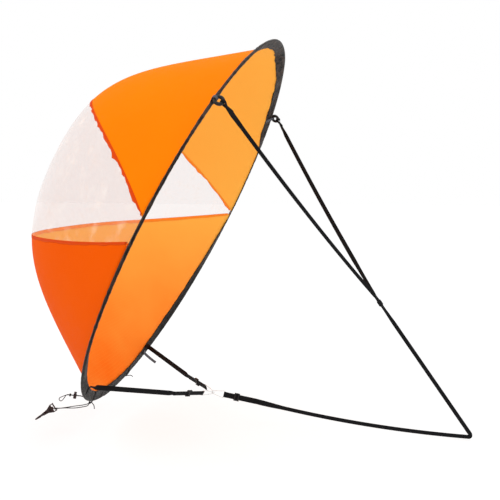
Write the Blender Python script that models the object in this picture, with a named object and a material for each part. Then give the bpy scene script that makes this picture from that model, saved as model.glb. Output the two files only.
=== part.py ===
# Pop-up downwind sail for a canoe or kayak.
#
# A sprung hoop in a fabric sleeve carries a cloth dish with a clear window.
# A webbing bridle and sheet run aft to the paddler's hand and come back to
# three linked wire rings. Two thin ties at the foot hold the sail to the deck.
#
# Axes: +Z up, -X towards the bow, +X towards the paddler, -Y the near side.
# The origin is midway between the two deck ties, on the line about which the
# sail leans.
import math

import bmesh
import bpy
from mathutils import Matrix, Vector

# Hoop and sleeve
HOOP_DIAMETER = 1.078
HOOP_LEAN_DEG = 27.0
HOOP_BEND = 0.0026
ROD_RADIUS = 0.0020
ROD_FROM_EDGE = 0.0055
ROD_END_GAP = 0.0010
SLEEVE_WIDTH = 0.0300
SLEEVE_WALL = 0.0007
SLEEVE_HEM_HALF = 0.0012
SLEEVE_END_GAP = 0.0100
FERRULE_WALL = 0.0004
FERRULE_LENGTH = 0.0600
WRAP_THICKNESS = 0.0008
RIM_STEP_DEG = 5.0
STATION_SPACING_DEG = 1.2
TWIST_LIMIT_DEG = 45.0

# How far the sleeve turns out of the hoop's plane, round the hoop from its top
# by the near side, as shares of the limit
SLEEVE_TWIST_SHARES = (
    (0, 0.25), (15, 0.45), (30, 0.65), (42, 0.35), (60, 0.35), (75, 0.4), (95, 0.5), (120, 0.4),
    (135, 0.16), (157, 0.05), (170, 0.05), (180, 0.12), (190, 0.05), (200, 0.05), (215, 0.35),
    (225, 0.5), (240, 0.38), (255, 0.04), (270, -0.3), (296, -0.3), (304, 0.35), (318, 0.35),
    (330, 0.25), (345, 1.0), (360, 0.25),
)

# Rest gaps between pieces that touch, and between pieces that slide or turn
CLEAR = 0.0003
RUN = 0.0004
SEAM_GAP = 0.0005
CLOTH_SEAT = 0.0009

# Cloth dish
DISH_DEPTH = 0.402
CLOTH_THICKNESS = 0.0010
TAPE_WIDTH = 0.0090
TAPE_THICKNESS = 0.0010
TAPE_END_SHARE = 0.15
UPPER_SEAM_RISE = 0.187
LOWER_SEAM_DROP = 0.213
UPPER_SEAM_POWER = 2.75
LOWER_SEAM_POWER = 2.2
WINDOW_NEAR_TOP_DEG = 84.0
WINDOW_NEAR_FOOT_DEG = 90.8
WINDOW_FAR_TOP_DEG = -89.0
WINDOW_FAR_FOOT_DEG = -90.0
# Slope at the rim and squareness of the shoulder, for the top, the sides and the foot
SLOPE_SHARES = (1.87, 1.714, 2.118)
SHOULDER_SHARES = (4.1, 3.377, 3.0)
UPPER_CORNER_DEG = 60.0
LOWER_CORNER_DEG = 130.0

# Webbing
WEBBING_WIDTH = 0.0150
WEBBING_THICKNESS = 0.0010

# Eye rings at the bridle's two corners
EYE_DEG = 50.6
EYE_MEAN_RADIUS = 0.0098
EYE_WIRE_RADIUS = 0.0042
EYE_TAB_WIDTH = 0.0120
EYE_FOLD_WIDTH = 0.0070
EYE_WIRE_OUT = 0.0106
EYE_CURVE = 0.0013
EYE_HANG = Vector((1.0, 0.09, -0.45))

# Bridle, sheet and lower straps
BRIDLE_JOINT = Vector((0.7490, 0.0, 0.2618))
BRIDLE_SAG = 0.0100
SHEET_BEND = Vector((0.9870, 0.0, -0.0775))
BEND_RADIUS = 0.0085
SHEET_SAG = 0.0130
SHEET_ROLL_DEG = 35.0
RING_NODE = Vector((0.2990, 0.0, -0.0005))
LOWER_STRAP_DEG = 150.7
STRAP_TAIL = 0.0900
STRAP_TAPER = 0.0080
EYE_TAIL = 0.0350
EYE_TAPER = 0.0140
WRAP_LENGTH = 0.0160
WRAP_WALL = 0.0012
PULL_TAB_GAP = 0.001467
PULL_TAB_LENGTH = 0.0420
PULL_TAB_WIDTH = 0.0100
PULL_TAB_THICKNESS = 0.0018

# Sliders
SLIDER_LENGTH = 0.0150
SLIDER_RAIL = 0.0025
SLIDER_BAR = 0.0030
SLIDER_BAR_HEIGHT = 0.0018
SHEET_SLIDER_SEAT = 0.0350
SIDE_SLIDER_SEAT = 0.0450

# Three-cornered wire rings. Each is set by its roll about its strap, how far its tip
# passes the place where the three are linked, and its shift along its own bar.
RING_WIRE = 0.0009
RING_PLAY = 0.0050
RING_BASE = WEBBING_WIDTH + RING_PLAY
RING_HEIGHT = 0.0400
SHEET_RING_WAY = Vector((1.0, 0.0, -0.17))
SHEET_RING_ROLL_DEG = -31.5
SHEET_RING_PASS = 0.0090
SHEET_RING_SHIFT = 0.00145
NEAR_RING_ROLL_DEG = -39.3
NEAR_RING_PASS = 0.0068
NEAR_RING_SHIFT = -0.0006
FAR_RING_ROLL_DEG = -18.9
FAR_RING_PASS = 0.0034
FAR_RING_SHIFT = 0.0030
RING_TIP_RADIUS = 0.0042
RING_CORNER_RADIUS = 0.0022

# Deck ties
TIE_DEG = 163.5
TIE_DROP = 0.0046
TIE_TAB_WIDTH = 0.0080
TIE_TAB_THICKNESS = 0.0010
CORD_RADIUS = 0.0011
KNOT_RADIUS = 0.0030
KNOT_OFFSET = 0.0105
KNOT_DROP = 0.0016
TAIL_RADIUS = 0.0009
TAIL_BOW = 0.0035
NEAR_TAIL_REACH = Vector((0.0180, -0.0111, -0.0106))
FAR_TAIL_REACH = Vector((0.0198, 0.0111, 0.0001))

# Steps of a tie's strand beyond its eye: towards the bow, outwards along the tie, and down
EYE_STRAND_STEPS = ((0.0, 0.0050, 0.0), (0.0012, 0.0080, 0.0004), (0.0040, 0.0103, 0.0012),
                    (0.0085, 0.0112, 0.0024))
KNOT_STRAND_STEP = (0.0100, 0.0004, 0.0030)

# Deck hook, its place and its cord's way to it
HOOK_AXIS = Vector((-0.826, 0.0, -0.564)).normalized()
HOOK_BAR_WAY = Vector((-HOOK_AXIS.z, 0.0, HOOK_AXIS.x))
HOOK_BAR_CENTRE = Vector((-0.0975, -0.1600, -0.0151))
HOOK_STRAND_BOW = Vector((-0.0300, 0.0, -0.0085))
HOOK_STRAND_OUT_Y = 0.0040
HOOK_STRAND_HOME_Y = 0.0070
HOOK_STRAND_MIDDLE = Vector((-0.0592, 0.0, -0.0158))
HOOK_STRAND_END = Vector((-0.0800, 0.0, -0.0207))
HOOK_BAR_RADIUS = 0.00175
HOOK_BAR_LENGTH = 0.0230
HOOK_SLOT = 0.0062
HOOK_RAIL = 0.0026
HOOK_PLATE = 0.0050
HOOK_BODY_LENGTH = 0.0150
HOOK_NECK_WIDTH = 0.0100
HOOK_BARREL_RADIUS = 0.0052
STEM_RADIUS = 0.0030
STEM_HEAD_RADIUS = 0.0039
STEM_HEAD_LENGTH = 0.0022
COLLAR_LENGTH = 0.0040
COLLAR_RADIUS = 0.0052
JAW_LENGTH = 0.0380
JAW_HALF_WIDTH = 0.0105
JAW_BAR = 0.0042
JAW_THICK_ROOT = 0.0088
JAW_THICK_TIP = 0.0030
CORD_SEAT_ON_BAR = 0.0050
GATE_PIN_RADIUS = 0.0009
GATE_BOSS_RADIUS = 0.0021
GATE_THICKNESS = 0.0026
GATE_WIDTH = 0.0036
GATE_NOSE_SHARE = 0.60

# Cord lock
LOCK_CENTRE = Vector((-0.1340, 0.0800, -0.0505))
LOCK_TILT_DEG = 12.0
LOCK_RADIUS = 0.0046
LOCK_WALL = 0.0011
LOCK_BELOW = 0.0090
LOCK_ABOVE = 0.0050
LOCK_HOLE_WIDTH = 0.0058
LOCK_HOLE_HEIGHT = 0.0030
LOCK_FLOOR = 0.0012
PLUNGER_TRAVEL = 0.0025
PLUNGER_WEB = 0.0012
PLUNGER_CAP = 0.0022
PLUNGER_CAP_RADIUS = 0.0043
STRAND_HALF = 0.0014
STRAND_WAY = Vector((-0.882, -0.453, -0.125))

# Places on the strands, measured from the lock towards the loop
LOCK_LEAD = -0.0120
LOCK_ENTRY = -0.0060
LOCK_EXIT = 0.0170
LOOP_ROOT = 0.0200
STRAND_START = Vector((-0.0400, 0.1480, -0.0150))
STRAND_SPREAD = Vector((0.0, 0.0030, 0.0))
STRAND_MIDDLE = Vector((-0.0900, 0.1130, -0.0395))
LOOP_TIP = Vector((-0.1777, 0.0680, -0.0637))
LOOP_BOW = 0.0040
LOOP_TIP_RUN = 0.0030
STOP_KNOT_WALL = 0.0016
STOP_KNOT_LENGTH = 0.0050
STOP_KNOT_FROM_LOCK = 0.0095

# Counts of facets
ROUND_SIDES = 8
FINE_SIDES = 16
SEAM_COLUMNS = 24
TWIST_STEPS = 30
PANEL_ROWS = 8

ORIGIN = Vector((0.0, 0.0, 0.0))
NEAR = Vector((0.0, -1.0, 0.0))
LEAN = math.radians(HOOP_LEAN_DEG)
UP = Vector((math.sin(LEAN), 0.0, math.cos(LEAN)))
BOW = Vector((-math.cos(LEAN), 0.0, math.sin(LEAN)))
AFT = -BOW

HOOP_RADIUS = HOOP_DIAMETER / 2
ROD_CIRCLE = HOOP_RADIUS - ROD_FROM_EDGE
TIE_ANGLE = math.radians(TIE_DEG)
TIE_CIRCLE = HOOP_RADIUS + TIE_DROP
TIE_Y = TIE_CIRCLE * math.sin(TIE_ANGLE)
CENTRE = -TIE_CIRCLE * math.cos(TIE_ANGLE) * UP

POCKET_HALF = ROD_RADIUS + CLEAR + FERRULE_WALL + CLEAR
INNER_EDGE = SLEEVE_WIDTH - ROD_FROM_EDGE

# The pull tab stands beside the far lower strap, however wide either is
PULL_TAB_STEP = (WEBBING_WIDTH + PULL_TAB_WIDTH) / 2 + PULL_TAB_GAP
PULL_TAB_DEG = -LOWER_STRAP_DEG - math.degrees(PULL_TAB_STEP / ROD_CIRCLE)


def clear_scene():
    for obj in list(bpy.data.objects):
        bpy.data.objects.remove(obj, do_unlink=True)


def material(name, colour, roughness, metallic=0.0, alpha=1.0):
    made = bpy.data.materials.new(name)
    made.use_nodes = True
    shader = made.node_tree.nodes["Principled BSDF"]
    shader.inputs["Base Color"].default_value = (*colour, 1.0)
    shader.inputs["Roughness"].default_value = roughness
    shader.inputs["Metallic"].default_value = metallic
    shader.inputs["Alpha"].default_value = alpha
    return made


clear_scene()
SLEEVE_CLOTH = material("sleeve_cloth", (0.085, 0.065, 0.058), 0.85)
BRIGHT_ORANGE = material("bright_orange_cloth", (0.98, 0.25, 0.005), 0.6)
DEEP_ORANGE = material("deep_orange_cloth", (0.88, 0.11, 0.002), 0.6)
CLEAR_FILM = material("clear_film", (0.85, 0.80, 0.78), 0.15, alpha=0.5)
SEAM_ORANGE = material("seam_orange", (0.68, 0.06, 0.005), 0.7)
BLACK_WEBBING = material("black_webbing", (0.012, 0.012, 0.014), 0.8)
GREY_WEBBING = material("grey_webbing", (0.09, 0.09, 0.10), 0.8)
BLACK_PLASTIC = material("black_plastic", (0.015, 0.013, 0.013), 0.45)
BLACK_CORD = material("black_cord", (0.015, 0.013, 0.012), 0.8)
WHITE_WIRE = material("white_coated_wire", (0.78, 0.82, 0.83), 0.3, 0.2)
SPRING_STEEL = material("spring_steel", (0.45, 0.45, 0.46), 0.35, 0.9)


# Empties that stand on the joint axes. Each moving piece hangs on one.
def axis_empty(name, place, parent=None):
    empty = bpy.data.objects.new(name, None)
    bpy.context.collection.objects.link(empty)
    hang(empty, place, parent)
    return empty


def hang(obj, place, parent):
    obj["place"] = list(place)
    if parent is None:
        obj.location = place
    else:
        obj.parent = parent
        obj.location = place - Vector(parent["place"])


def add_mesh(name, bm, surface, parent, smooth_deg=None):
    """Makes one named object from a bmesh in world places, on its parent's axis."""
    place = Vector(parent["place"])
    bmesh.ops.recalc_face_normals(bm, faces=bm.faces)
    bmesh.ops.translate(bm, vec=-place, verts=bm.verts)
    mesh = bpy.data.meshes.new(name)
    bm.to_mesh(mesh)
    bm.free()
    if smooth_deg is not None:
        mesh.shade_smooth()
        mesh.set_sharp_from_angle(angle=math.radians(smooth_deg))
    mesh.materials.append(surface)
    obj = bpy.data.objects.new(name, mesh)
    bpy.context.collection.objects.link(obj)
    hang(obj, place, parent)
    return obj


def basis(place, x_axis, y_axis):
    """A frame with the given x and y directions, z square to both."""
    z_axis = x_axis.cross(y_axis).normalized()
    y_axis = z_axis.cross(x_axis).normalized()
    columns = (x_axis.normalized(), y_axis, z_axis, place)
    return Matrix([[column[row] for column in columns] for row in range(3)] + [[0, 0, 0, 1]])


def sweep(bm, outline, frames, hole=None):
    """Carries a flat outline, with a hole of as many points, through the frames."""
    outer = [bm.verts.new(frames[0] @ Vector((x, y, 0.0))) for x, y in outline]
    if hole is None:
        bm.faces.new(outer)
    else:
        inner = [bm.verts.new(frames[0] @ Vector((x, y, 0.0))) for x, y in hole]
        for i in range(len(outer)):
            bm.faces.new((outer[i - 1], outer[i], inner[i], inner[i - 1]))
    front = bm.faces[:] + bm.edges[:] + bm.verts[:]
    for before, after in zip(frames, frames[1:]):
        front = bmesh.ops.extrude_face_region(bm, geom=front)["geom"]
        moved = [item for item in front if isinstance(item, bmesh.types.BMVert)]
        bmesh.ops.transform(bm, matrix=after @ before.inverted(), verts=moved)
    return bm


def circle(radius, sides, turn=0.5):
    steps = [2 * math.pi * (i + turn) / sides for i in range(sides)]
    return [(radius * math.cos(a), radius * math.sin(a)) for a in steps]


def box(bm, frame, low, high):
    """A block between two corners of a frame."""
    size = Vector(high) - Vector(low)
    middle = (Vector(high) + Vector(low)) / 2
    shape = frame @ Matrix.Translation(middle) @ Matrix.Diagonal((*size, 1.0))
    bmesh.ops.create_cube(bm, size=1.0, matrix=shape)
    return bm


def rod_between(bm, frame, start, end, radius, sides=FINE_SIDES):
    """A round bar along a frame's z axis, from start to end."""
    lift = Matrix.Translation(Vector((0.0, 0.0, (start + end) / 2)))
    bmesh.ops.create_cone(bm, cap_ends=True, segments=sides, radius1=radius, radius2=radius,
                          depth=end - start, matrix=frame @ lift)
    return bm


def boolean(obj, bm, operation):
    """Joins a shape to an object, or cuts it out, and keeps the result."""
    bmesh.ops.recalc_face_normals(bm, faces=bm.faces)
    mesh = bpy.data.meshes.new("tool")
    bm.to_mesh(mesh)
    bm.free()
    tool = bpy.data.objects.new("tool", mesh)
    bpy.context.collection.objects.link(tool)
    bpy.context.view_layer.update()
    tool.matrix_world = Matrix.Translation(ORIGIN)
    step = obj.modifiers.new("cut", "BOOLEAN")
    step.operation = operation
    step.solver = "EXACT"
    step.object = tool
    bpy.context.view_layer.update()
    depsgraph = bpy.context.evaluated_depsgraph_get()
    result = bpy.data.meshes.new_from_object(obj.evaluated_get(depsgraph))
    obj.modifiers.clear()
    obj.data = result
    bpy.data.objects.remove(tool, do_unlink=True)


def smooth_route(points, spacing):
    """Evenly spaced points on a smooth curve through a cord's route."""
    ends = [points[0] * 2 - points[1]] + list(points) + [points[-1] * 2 - points[-2]]
    fine = [points[0]]
    for i in range(1, len(ends) - 2):
        p0, p1, p2, p3 = ends[i - 1:i + 3]
        steps = 12
        for k in range(1, steps + 1):
            t = k / steps
            fine.append(0.5 * (2 * p1 + (p2 - p0) * t + (2 * p0 - 5 * p1 + 4 * p2 - p3) * t ** 2
                               + (3 * p1 - p0 - 3 * p2 + p3) * t ** 3))
    run = [0.0]
    for a, b in zip(fine, fine[1:]):
        run.append(run[-1] + (b - a).length)
    count = max(4, round(run[-1] / spacing))
    places, k = [], 0
    for i in range(count + 1):
        want = run[-1] * i / count
        while k < len(run) - 2 and run[k + 1] < want:
            k += 1
        share = (want - run[k]) / (run[k + 1] - run[k])
        places.append(fine[k].lerp(fine[k + 1], min(1.0, share)))
    return places


def tube(name, points, radius, surface, parent, resolution=2, closed=False):
    """A round cord or wire along points, with closed ends."""
    place = Vector(parent["place"])
    curve = bpy.data.curves.new(name, "CURVE")
    curve.dimensions = "3D"
    curve.bevel_depth = radius
    curve.bevel_resolution = resolution
    curve.use_fill_caps = True
    spline = curve.splines.new("POLY")
    spline.points.add(len(points) - 1)
    for point, where in zip(spline.points, points):
        point.co = (*(where - place), 1.0)
    spline.use_cyclic_u = closed
    spline.use_smooth = True
    curve.materials.append(surface)
    obj = bpy.data.objects.new(name, curve)
    bpy.context.collection.objects.link(obj)
    hang(obj, place, parent)
    return obj


# Places round the hoop
def blend_shares(table, value):
    for (x0, y0), (x1, y1) in zip(table, table[1:]):
        if x0 <= value <= x1:
            t = (value - x0) / (x1 - x0)
            return y0 + (y1 - y0) * t * t * (3 - 2 * t)
    return table[-1][1]


def twist_at(deg):
    return math.radians(TWIST_LIMIT_DEG) * blend_shares(SLEEVE_TWIST_SHARES, deg % 360)


def outward(deg):
    a = math.radians(deg)
    return math.cos(a) * UP + math.sin(a) * NEAR


def along(deg):
    a = math.radians(deg)
    return -math.sin(a) * UP + math.cos(a) * NEAR


def rim_frame(deg):
    """Frame at the rod: x in the sleeve's width towards the cloth, y out of its aft face."""
    twist = twist_at(deg)
    inward = -math.cos(twist) * outward(deg) + math.sin(twist) * BOW
    face = along(deg).cross(inward)
    bend = math.cos(2 * math.radians(deg)) - math.cos(2 * TIE_ANGLE)
    return basis(CENTRE + ROD_CIRCLE * outward(deg) + HOOP_BEND * bend * BOW, inward, face)


FERRULE_DEG = math.degrees(FERRULE_LENGTH / 2 / ROD_CIRCLE)
SLEEVE_GAP_DEG = math.degrees(SLEEVE_END_GAP / 2 / ROD_CIRCLE)
ROD_GAP_DEG = math.degrees(ROD_END_GAP / 2 / ROD_CIRCLE)


def rim_stations():
    """Angles at which the hoop has a corner: even steps, and each place where something is fixed."""
    fixed = [EYE_DEG, -EYE_DEG, LOWER_STRAP_DEG, -LOWER_STRAP_DEG, TIE_DEG, -TIE_DEG, PULL_TAB_DEG,
             WINDOW_NEAR_TOP_DEG, WINDOW_NEAR_FOOT_DEG, WINDOW_FAR_TOP_DEG, WINDOW_FAR_FOOT_DEG,
             180 - FERRULE_DEG, 180 + FERRULE_DEG, 180.0]
    fixed = [deg % 360 for deg in fixed]
    steps = [i * RIM_STEP_DEG for i in range(round(360 / RIM_STEP_DEG))]
    free = [deg for deg in steps if all(abs(deg - other) >= STATION_SPACING_DEG for other in fixed)]
    return sorted(fixed + free)


STATIONS = rim_stations()


def stations_between(start, end):
    """The hoop's corner angles strictly between two angles, going up from the start."""
    turned = [deg + 360 * turn for turn in (-1, 0, 1) for deg in STATIONS]
    return [start] + [deg for deg in sorted(turned) if start + 1e-3 < deg < end - 1e-3] + [end]


# The sleeve's outline across the hoop: a pocket round the rod and a flat hem
def offset_outline(points, distance):
    """A closed outline moved outwards by the same distance everywhere."""
    moved = []
    count = len(points)
    for i, point in enumerate(points):
        before = (point - points[i - 1]).normalized()
        after = (points[(i + 1) % count] - point).normalized()
        normal_before = Vector((-before.y, before.x))
        normal_after = Vector((-after.y, after.x))
        middle = (normal_before + normal_after).normalized()
        moved.append(point + middle * distance / middle.dot(normal_after))
    return moved


def sleeve_outline(grow):
    """The pocket's inner wall, moved outwards by grow. It starts at the outer edge, aft half first."""
    back, front = SLEEVE_WALL - ROD_FROM_EDGE, INNER_EDGE - SLEEVE_WALL
    hem = SLEEVE_HEM_HALF - SLEEVE_WALL
    half = [(back * 0.76, POCKET_HALF * 0.68), (0.0, POCKET_HALF), (front * 0.22, POCKET_HALF * 0.72),
            (front * 0.58, hem * 1.8), (front, hem)]
    points = [Vector((back, 0.0))] + [Vector(p) for p in half]
    points += [Vector((x, -y)) for x, y in reversed(half)]
    return [tuple(p) for p in offset_outline(points, grow)]


def make_hoop(sail):
    start, end = 180 + ROD_GAP_DEG, 540 - ROD_GAP_DEG
    frames = [rim_frame(deg) for deg in stations_between(start, end)]
    rod = sweep(bmesh.new(), circle(ROD_RADIUS, ROUND_SIDES), frames)
    add_mesh("hoop_rod", rod, SPRING_STEEL, sail, 50)

    frames = [rim_frame(deg) for deg in (180 - FERRULE_DEG, 180, 180 + FERRULE_DEG)]
    bore = ROD_RADIUS + CLEAR
    ferrule = sweep(bmesh.new(), circle(bore + FERRULE_WALL, ROUND_SIDES), frames,
                    circle(bore, ROUND_SIDES))
    add_mesh("rod_ferrule", ferrule, SPRING_STEEL, sail, 50)

    start, end = 180 + SLEEVE_GAP_DEG, 540 - SLEEVE_GAP_DEG
    frames = [rim_frame(deg) for deg in stations_between(start, end)]
    sleeve = sweep(bmesh.new(), sleeve_outline(SLEEVE_WALL), frames, sleeve_outline(0.0))
    add_mesh("rim_sleeve", sleeve, SLEEVE_CLOTH, sail, 60)

    frames = [rim_frame(deg) for deg in (180 - FERRULE_DEG, 180, 180 + FERRULE_DEG)]
    inner = sleeve_outline(SLEEVE_WALL + CLEAR)[1:5]
    outer = sleeve_outline(SLEEVE_WALL + CLEAR + WRAP_THICKNESS)[1:5]
    nose_in = sleeve_outline(SLEEVE_WALL + CLEAR)[0]
    nose_out = sleeve_outline(SLEEVE_WALL + CLEAR + WRAP_THICKNESS)[0]
    folded = ([nose_out] + outer + list(reversed(inner)) + [nose_in]
              + [(x, -y) for x, y in inner] + [(x, -y) for x, y in reversed(outer)])
    wrap = sweep(bmesh.new(), folded, frames)
    add_mesh("sleeve_wrap", wrap, SLEEVE_CLOTH, sail, 60)


# The cloth dish
def edge_place(deg):
    """Where the cloth starts, on the straight run between two of the hoop's corners."""
    ring = [station for station in STATIONS] + [STATIONS[0] + 360]
    deg = deg % 360
    if deg < ring[0]:
        deg += 360
    for a, b in zip(ring, ring[1:]):
        if a <= deg <= b:
            break
    first, last = (rim_frame(x) @ Vector((INNER_EDGE + CLOTH_SEAT, 0.0, 0.0)) - CENTRE for x in (a, b))
    flat_first, flat_last = ((v.dot(UP), v.dot(NEAR)) for v in (first, last))
    ray = (math.cos(math.radians(deg)), math.sin(math.radians(deg)))
    step = (flat_last[0] - flat_first[0], flat_last[1] - flat_first[1])
    share = ((flat_first[1] * ray[0] - flat_first[0] * ray[1])
             / (step[0] * ray[1] - step[1] * ray[0])) if b > a else 0.0
    return first.lerp(last, share)


def edge_flat(deg):
    place = edge_place(deg)
    return Vector((place.dot(UP), place.dot(NEAR)))


def dish_share(reach, deg):
    """The dish's height at a share of the way out from its middle, as a share of its depth."""
    c = math.cos(math.radians(deg))
    top, foot = max(c, 0.0) ** 2, max(-c, 0.0) ** 2
    side = 1.0 - top - foot
    slope = SLOPE_SHARES[0] * top + SLOPE_SHARES[1] * side + SLOPE_SHARES[2] * foot
    power = SHOULDER_SHARES[0] * top + SHOULDER_SHARES[1] * side + SHOULDER_SHARES[2] * foot

    def rounded(level):
        return level / (1 + level ** power) ** (1 / power)
    return rounded(slope * (1 - reach)) / rounded(slope)


def dish_place(flat, lift=0.0):
    """The point of the dish over a flat place (up, near) in the hoop's plane."""
    deg = math.degrees(math.atan2(flat[1], flat[0]))
    edge = edge_place(deg)
    reach = min(1.0, math.hypot(*flat) / math.hypot(edge.dot(UP), edge.dot(NEAR)))
    height = edge.dot(BOW) * reach ** 6 + DISH_DEPTH * dish_share(reach, deg) + lift
    return CENTRE + flat[0] * UP + flat[1] * NEAR + height * BOW


def seam(rise, power, near_deg, far_deg):
    """A seam's flat places, from its near end on the rim to its far end."""
    places = []
    for i in range(SEAM_COLUMNS + 1):
        v = 1 - 2 * i / SEAM_COLUMNS
        end = edge_flat(near_deg if v > 0 else far_deg)
        bow_share = 1 - abs(v) ** power
        places.append(Vector((rise * bow_share + end[0] * (1 - bow_share), abs(v) * end[1])))
    return places


def rim_run(start, end, count):
    return [edge_flat(start + (end - start) * i / count) for i in range(count + 1)]


def patch(foot, top, left, right):
    """A grid of flat places between four edges that meet at their corners."""
    rows, columns = len(left) - 1, len(foot) - 1
    grid = []
    for j in range(rows + 1):
        t = j / rows
        row = []
        for i in range(columns + 1):
            s = i / columns
            ruled = foot[i].lerp(top[i], t) + left[j].lerp(right[j], s)
            corners = foot[0].lerp(foot[-1], s).lerp(top[0].lerp(top[-1], s), t)
            row.append(ruled - corners)
        grid.append(row)
    return grid


def cloth(name, grid, thickness, surface, sail, offset=0.0):
    """A closed sheet of even thickness over a grid of flat places."""
    rows, columns = len(grid) - 1, len(grid[0]) - 1
    bm = bmesh.new()
    bmesh.ops.create_grid(bm, x_segments=columns, y_segments=rows, size=1.0)
    for vert in bm.verts:
        i = round((vert.co.x + 1) / 2 * columns)
        j = round((vert.co.y + 1) / 2 * rows)
        vert.co = dish_place(grid[j][i])
    bmesh.ops.recalc_face_normals(bm, faces=bm.faces)
    middle = min(bm.faces, key=lambda face: (face.calc_center_median() - CENTRE - DISH_DEPTH * BOW).length)
    if middle.normal.dot(BOW) < 0:
        bmesh.ops.reverse_faces(bm, faces=bm.faces)
    bm.normal_update()
    if offset:
        places = [(vert, vert.co + vert.normal * offset) for vert in bm.verts]
        for vert, place in places:
            vert.co = place
    outer = bm.verts[:]
    shift = {vert: vert.normal * (thickness / 2) for vert in outer}
    grown = bmesh.ops.extrude_face_region(bm, geom=bm.faces[:], use_keep_orig=True)["geom"]
    lifted = [item for item in grown if isinstance(item, bmesh.types.BMVert)]
    pairs = {}
    for vert in lifted:
        pairs[vert] = min(shift, key=lambda other: (other.co - vert.co).length_squared)
    for vert, base in pairs.items():
        vert.co = base.co + shift[base]
    for vert in outer:
        vert.co -= shift[vert]
    return add_mesh(name, bm, surface, sail, 60)


def make_dish(sail):
    half = SEAM_GAP / 2
    turn = math.degrees(half / HOOP_RADIUS)
    over = seam(UPPER_SEAM_RISE + half, UPPER_SEAM_POWER,
                WINDOW_NEAR_TOP_DEG - turn, WINDOW_FAR_TOP_DEG + turn)
    under = seam(UPPER_SEAM_RISE - half, UPPER_SEAM_POWER,
                 WINDOW_NEAR_TOP_DEG + turn, WINDOW_FAR_TOP_DEG - turn)
    upper = patch(over, rim_run(UPPER_CORNER_DEG, -UPPER_CORNER_DEG, SEAM_COLUMNS),
                  rim_run(WINDOW_NEAR_TOP_DEG - turn, UPPER_CORNER_DEG, PANEL_ROWS),
                  rim_run(WINDOW_FAR_TOP_DEG + turn, -UPPER_CORNER_DEG, PANEL_ROWS))
    cloth("upper_panel", upper, CLOTH_THICKNESS, BRIGHT_ORANGE, sail)

    sill = seam(half - LOWER_SEAM_DROP, LOWER_SEAM_POWER,
                WINDOW_NEAR_FOOT_DEG - turn, WINDOW_FAR_FOOT_DEG + turn)
    window = patch(sill, under,
                   rim_run(WINDOW_NEAR_FOOT_DEG - turn, WINDOW_NEAR_TOP_DEG + turn, PANEL_ROWS),
                   rim_run(WINDOW_FAR_FOOT_DEG + turn, WINDOW_FAR_TOP_DEG - turn, PANEL_ROWS))
    cloth("window_film", window, CLOTH_THICKNESS, CLEAR_FILM, sail)

    below = seam(-half - LOWER_SEAM_DROP, LOWER_SEAM_POWER,
                 WINDOW_NEAR_FOOT_DEG + turn, WINDOW_FAR_FOOT_DEG - turn)
    lower = patch(rim_run(LOWER_CORNER_DEG, 360 - LOWER_CORNER_DEG, SEAM_COLUMNS), below,
                  rim_run(LOWER_CORNER_DEG, WINDOW_NEAR_FOOT_DEG + turn, PANEL_ROWS),
                  rim_run(-LOWER_CORNER_DEG, WINDOW_FAR_FOOT_DEG - turn, PANEL_ROWS))
    cloth("lower_panel", lower, CLOTH_THICKNESS, DEEP_ORANGE, sail)

    lift = CLOTH_THICKNESS / 2 + CLEAR * 1.5 + TAPE_THICKNESS / 2
    for name, line in (("upper_seam_tape", over), ("lower_seam_tape", below)):
        first, last = line[0].lerp(line[1], TAPE_END_SHARE), line[-1].lerp(line[-2], TAPE_END_SHARE)
        line = [first] + line[1:-1] + [last]
        rows = [[place + Vector((share * TAPE_WIDTH, 0.0)) for place in line] for share in (-0.5, 0.0, 0.5)]
        cloth(name, rows, TAPE_THICKNESS, SEAM_ORANGE, sail, lift)


# Webbing
def webbing(name, stops, width, thickness, surface, parent):
    """A flat strap through stops of (place, direction of its width, share of its width, laid flat)."""
    frames = []
    for i, (place, across, *more) in enumerate(stops):
        before = stops[max(0, i - 1)][0]
        after = stops[min(len(stops) - 1, i + 1)][0]
        run = (after - before).normalized()
        share, laid = (more + [1.0, False][len(more):]) if len(more) < 2 else more
        if laid:
            run = (run - run.dot(across) * across).normalized()
        x_axis = (across - across.dot(run) * run).normalized()
        if frames and x_axis.dot(frames[-1].col[0].to_3d()) < 0:
            x_axis = -x_axis
        narrowed = Matrix.Diagonal((share, 1.0, 1.0, 1.0))
        frames.append(basis(place, x_axis, run.cross(x_axis)) @ narrowed)
    w, t = width / 2, thickness / 2
    strap = sweep(bmesh.new(), [(-w, -t), (w, -t), (w, t), (-w, t)], frames)
    return add_mesh(name, strap, surface, parent, 40)


def folded_end(bar, run, face, bar_radius, tail, taper, thickness=WEBBING_THICKNESS):
    """Places from a strap's sewn tail round a bar to its main run. The width lies along the bar."""
    wide = bar_radius + CLEAR + thickness / 2
    close = (thickness + CLEAR) / 2
    places = [bar + run * tail - face * close, bar + run * (tail + taper) / 2 - face * close,
              bar + run * taper - face * close]
    for k in range(9):
        a = math.pi * (k / 8 * 1.16 - 0.08)
        places.append(bar + wide * (-math.cos(a) * face - math.sin(a) * run))
    places.append(bar + run * taper + face * close)
    return places


def straight(start, end, count, sag=ORIGIN):
    """Places between two ends, both left out, hanging by sag in the middle."""
    places = []
    for i in range(1, count):
        t = i / count
        places.append(start.lerp(end, t) + sag * 4 * t * (1 - t))
    return places


def turned(axis, reference, roll_deg):
    """A direction square to an axis, turned about it from the reference."""
    square = (reference - reference.dot(axis) * axis).normalized()
    return Matrix.Rotation(math.radians(roll_deg), 3, axis) @ square


def twist_between(first, last, run, share):
    """Turns one width direction smoothly into another about a strap's run."""
    a = (first - first.dot(run) * run).normalized()
    b = (last - last.dot(run) * run).normalized()
    if a.dot(b) < 0:
        b = -b
    return a.lerp(b, share * share * (3 - 2 * share)).normalized()


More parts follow.
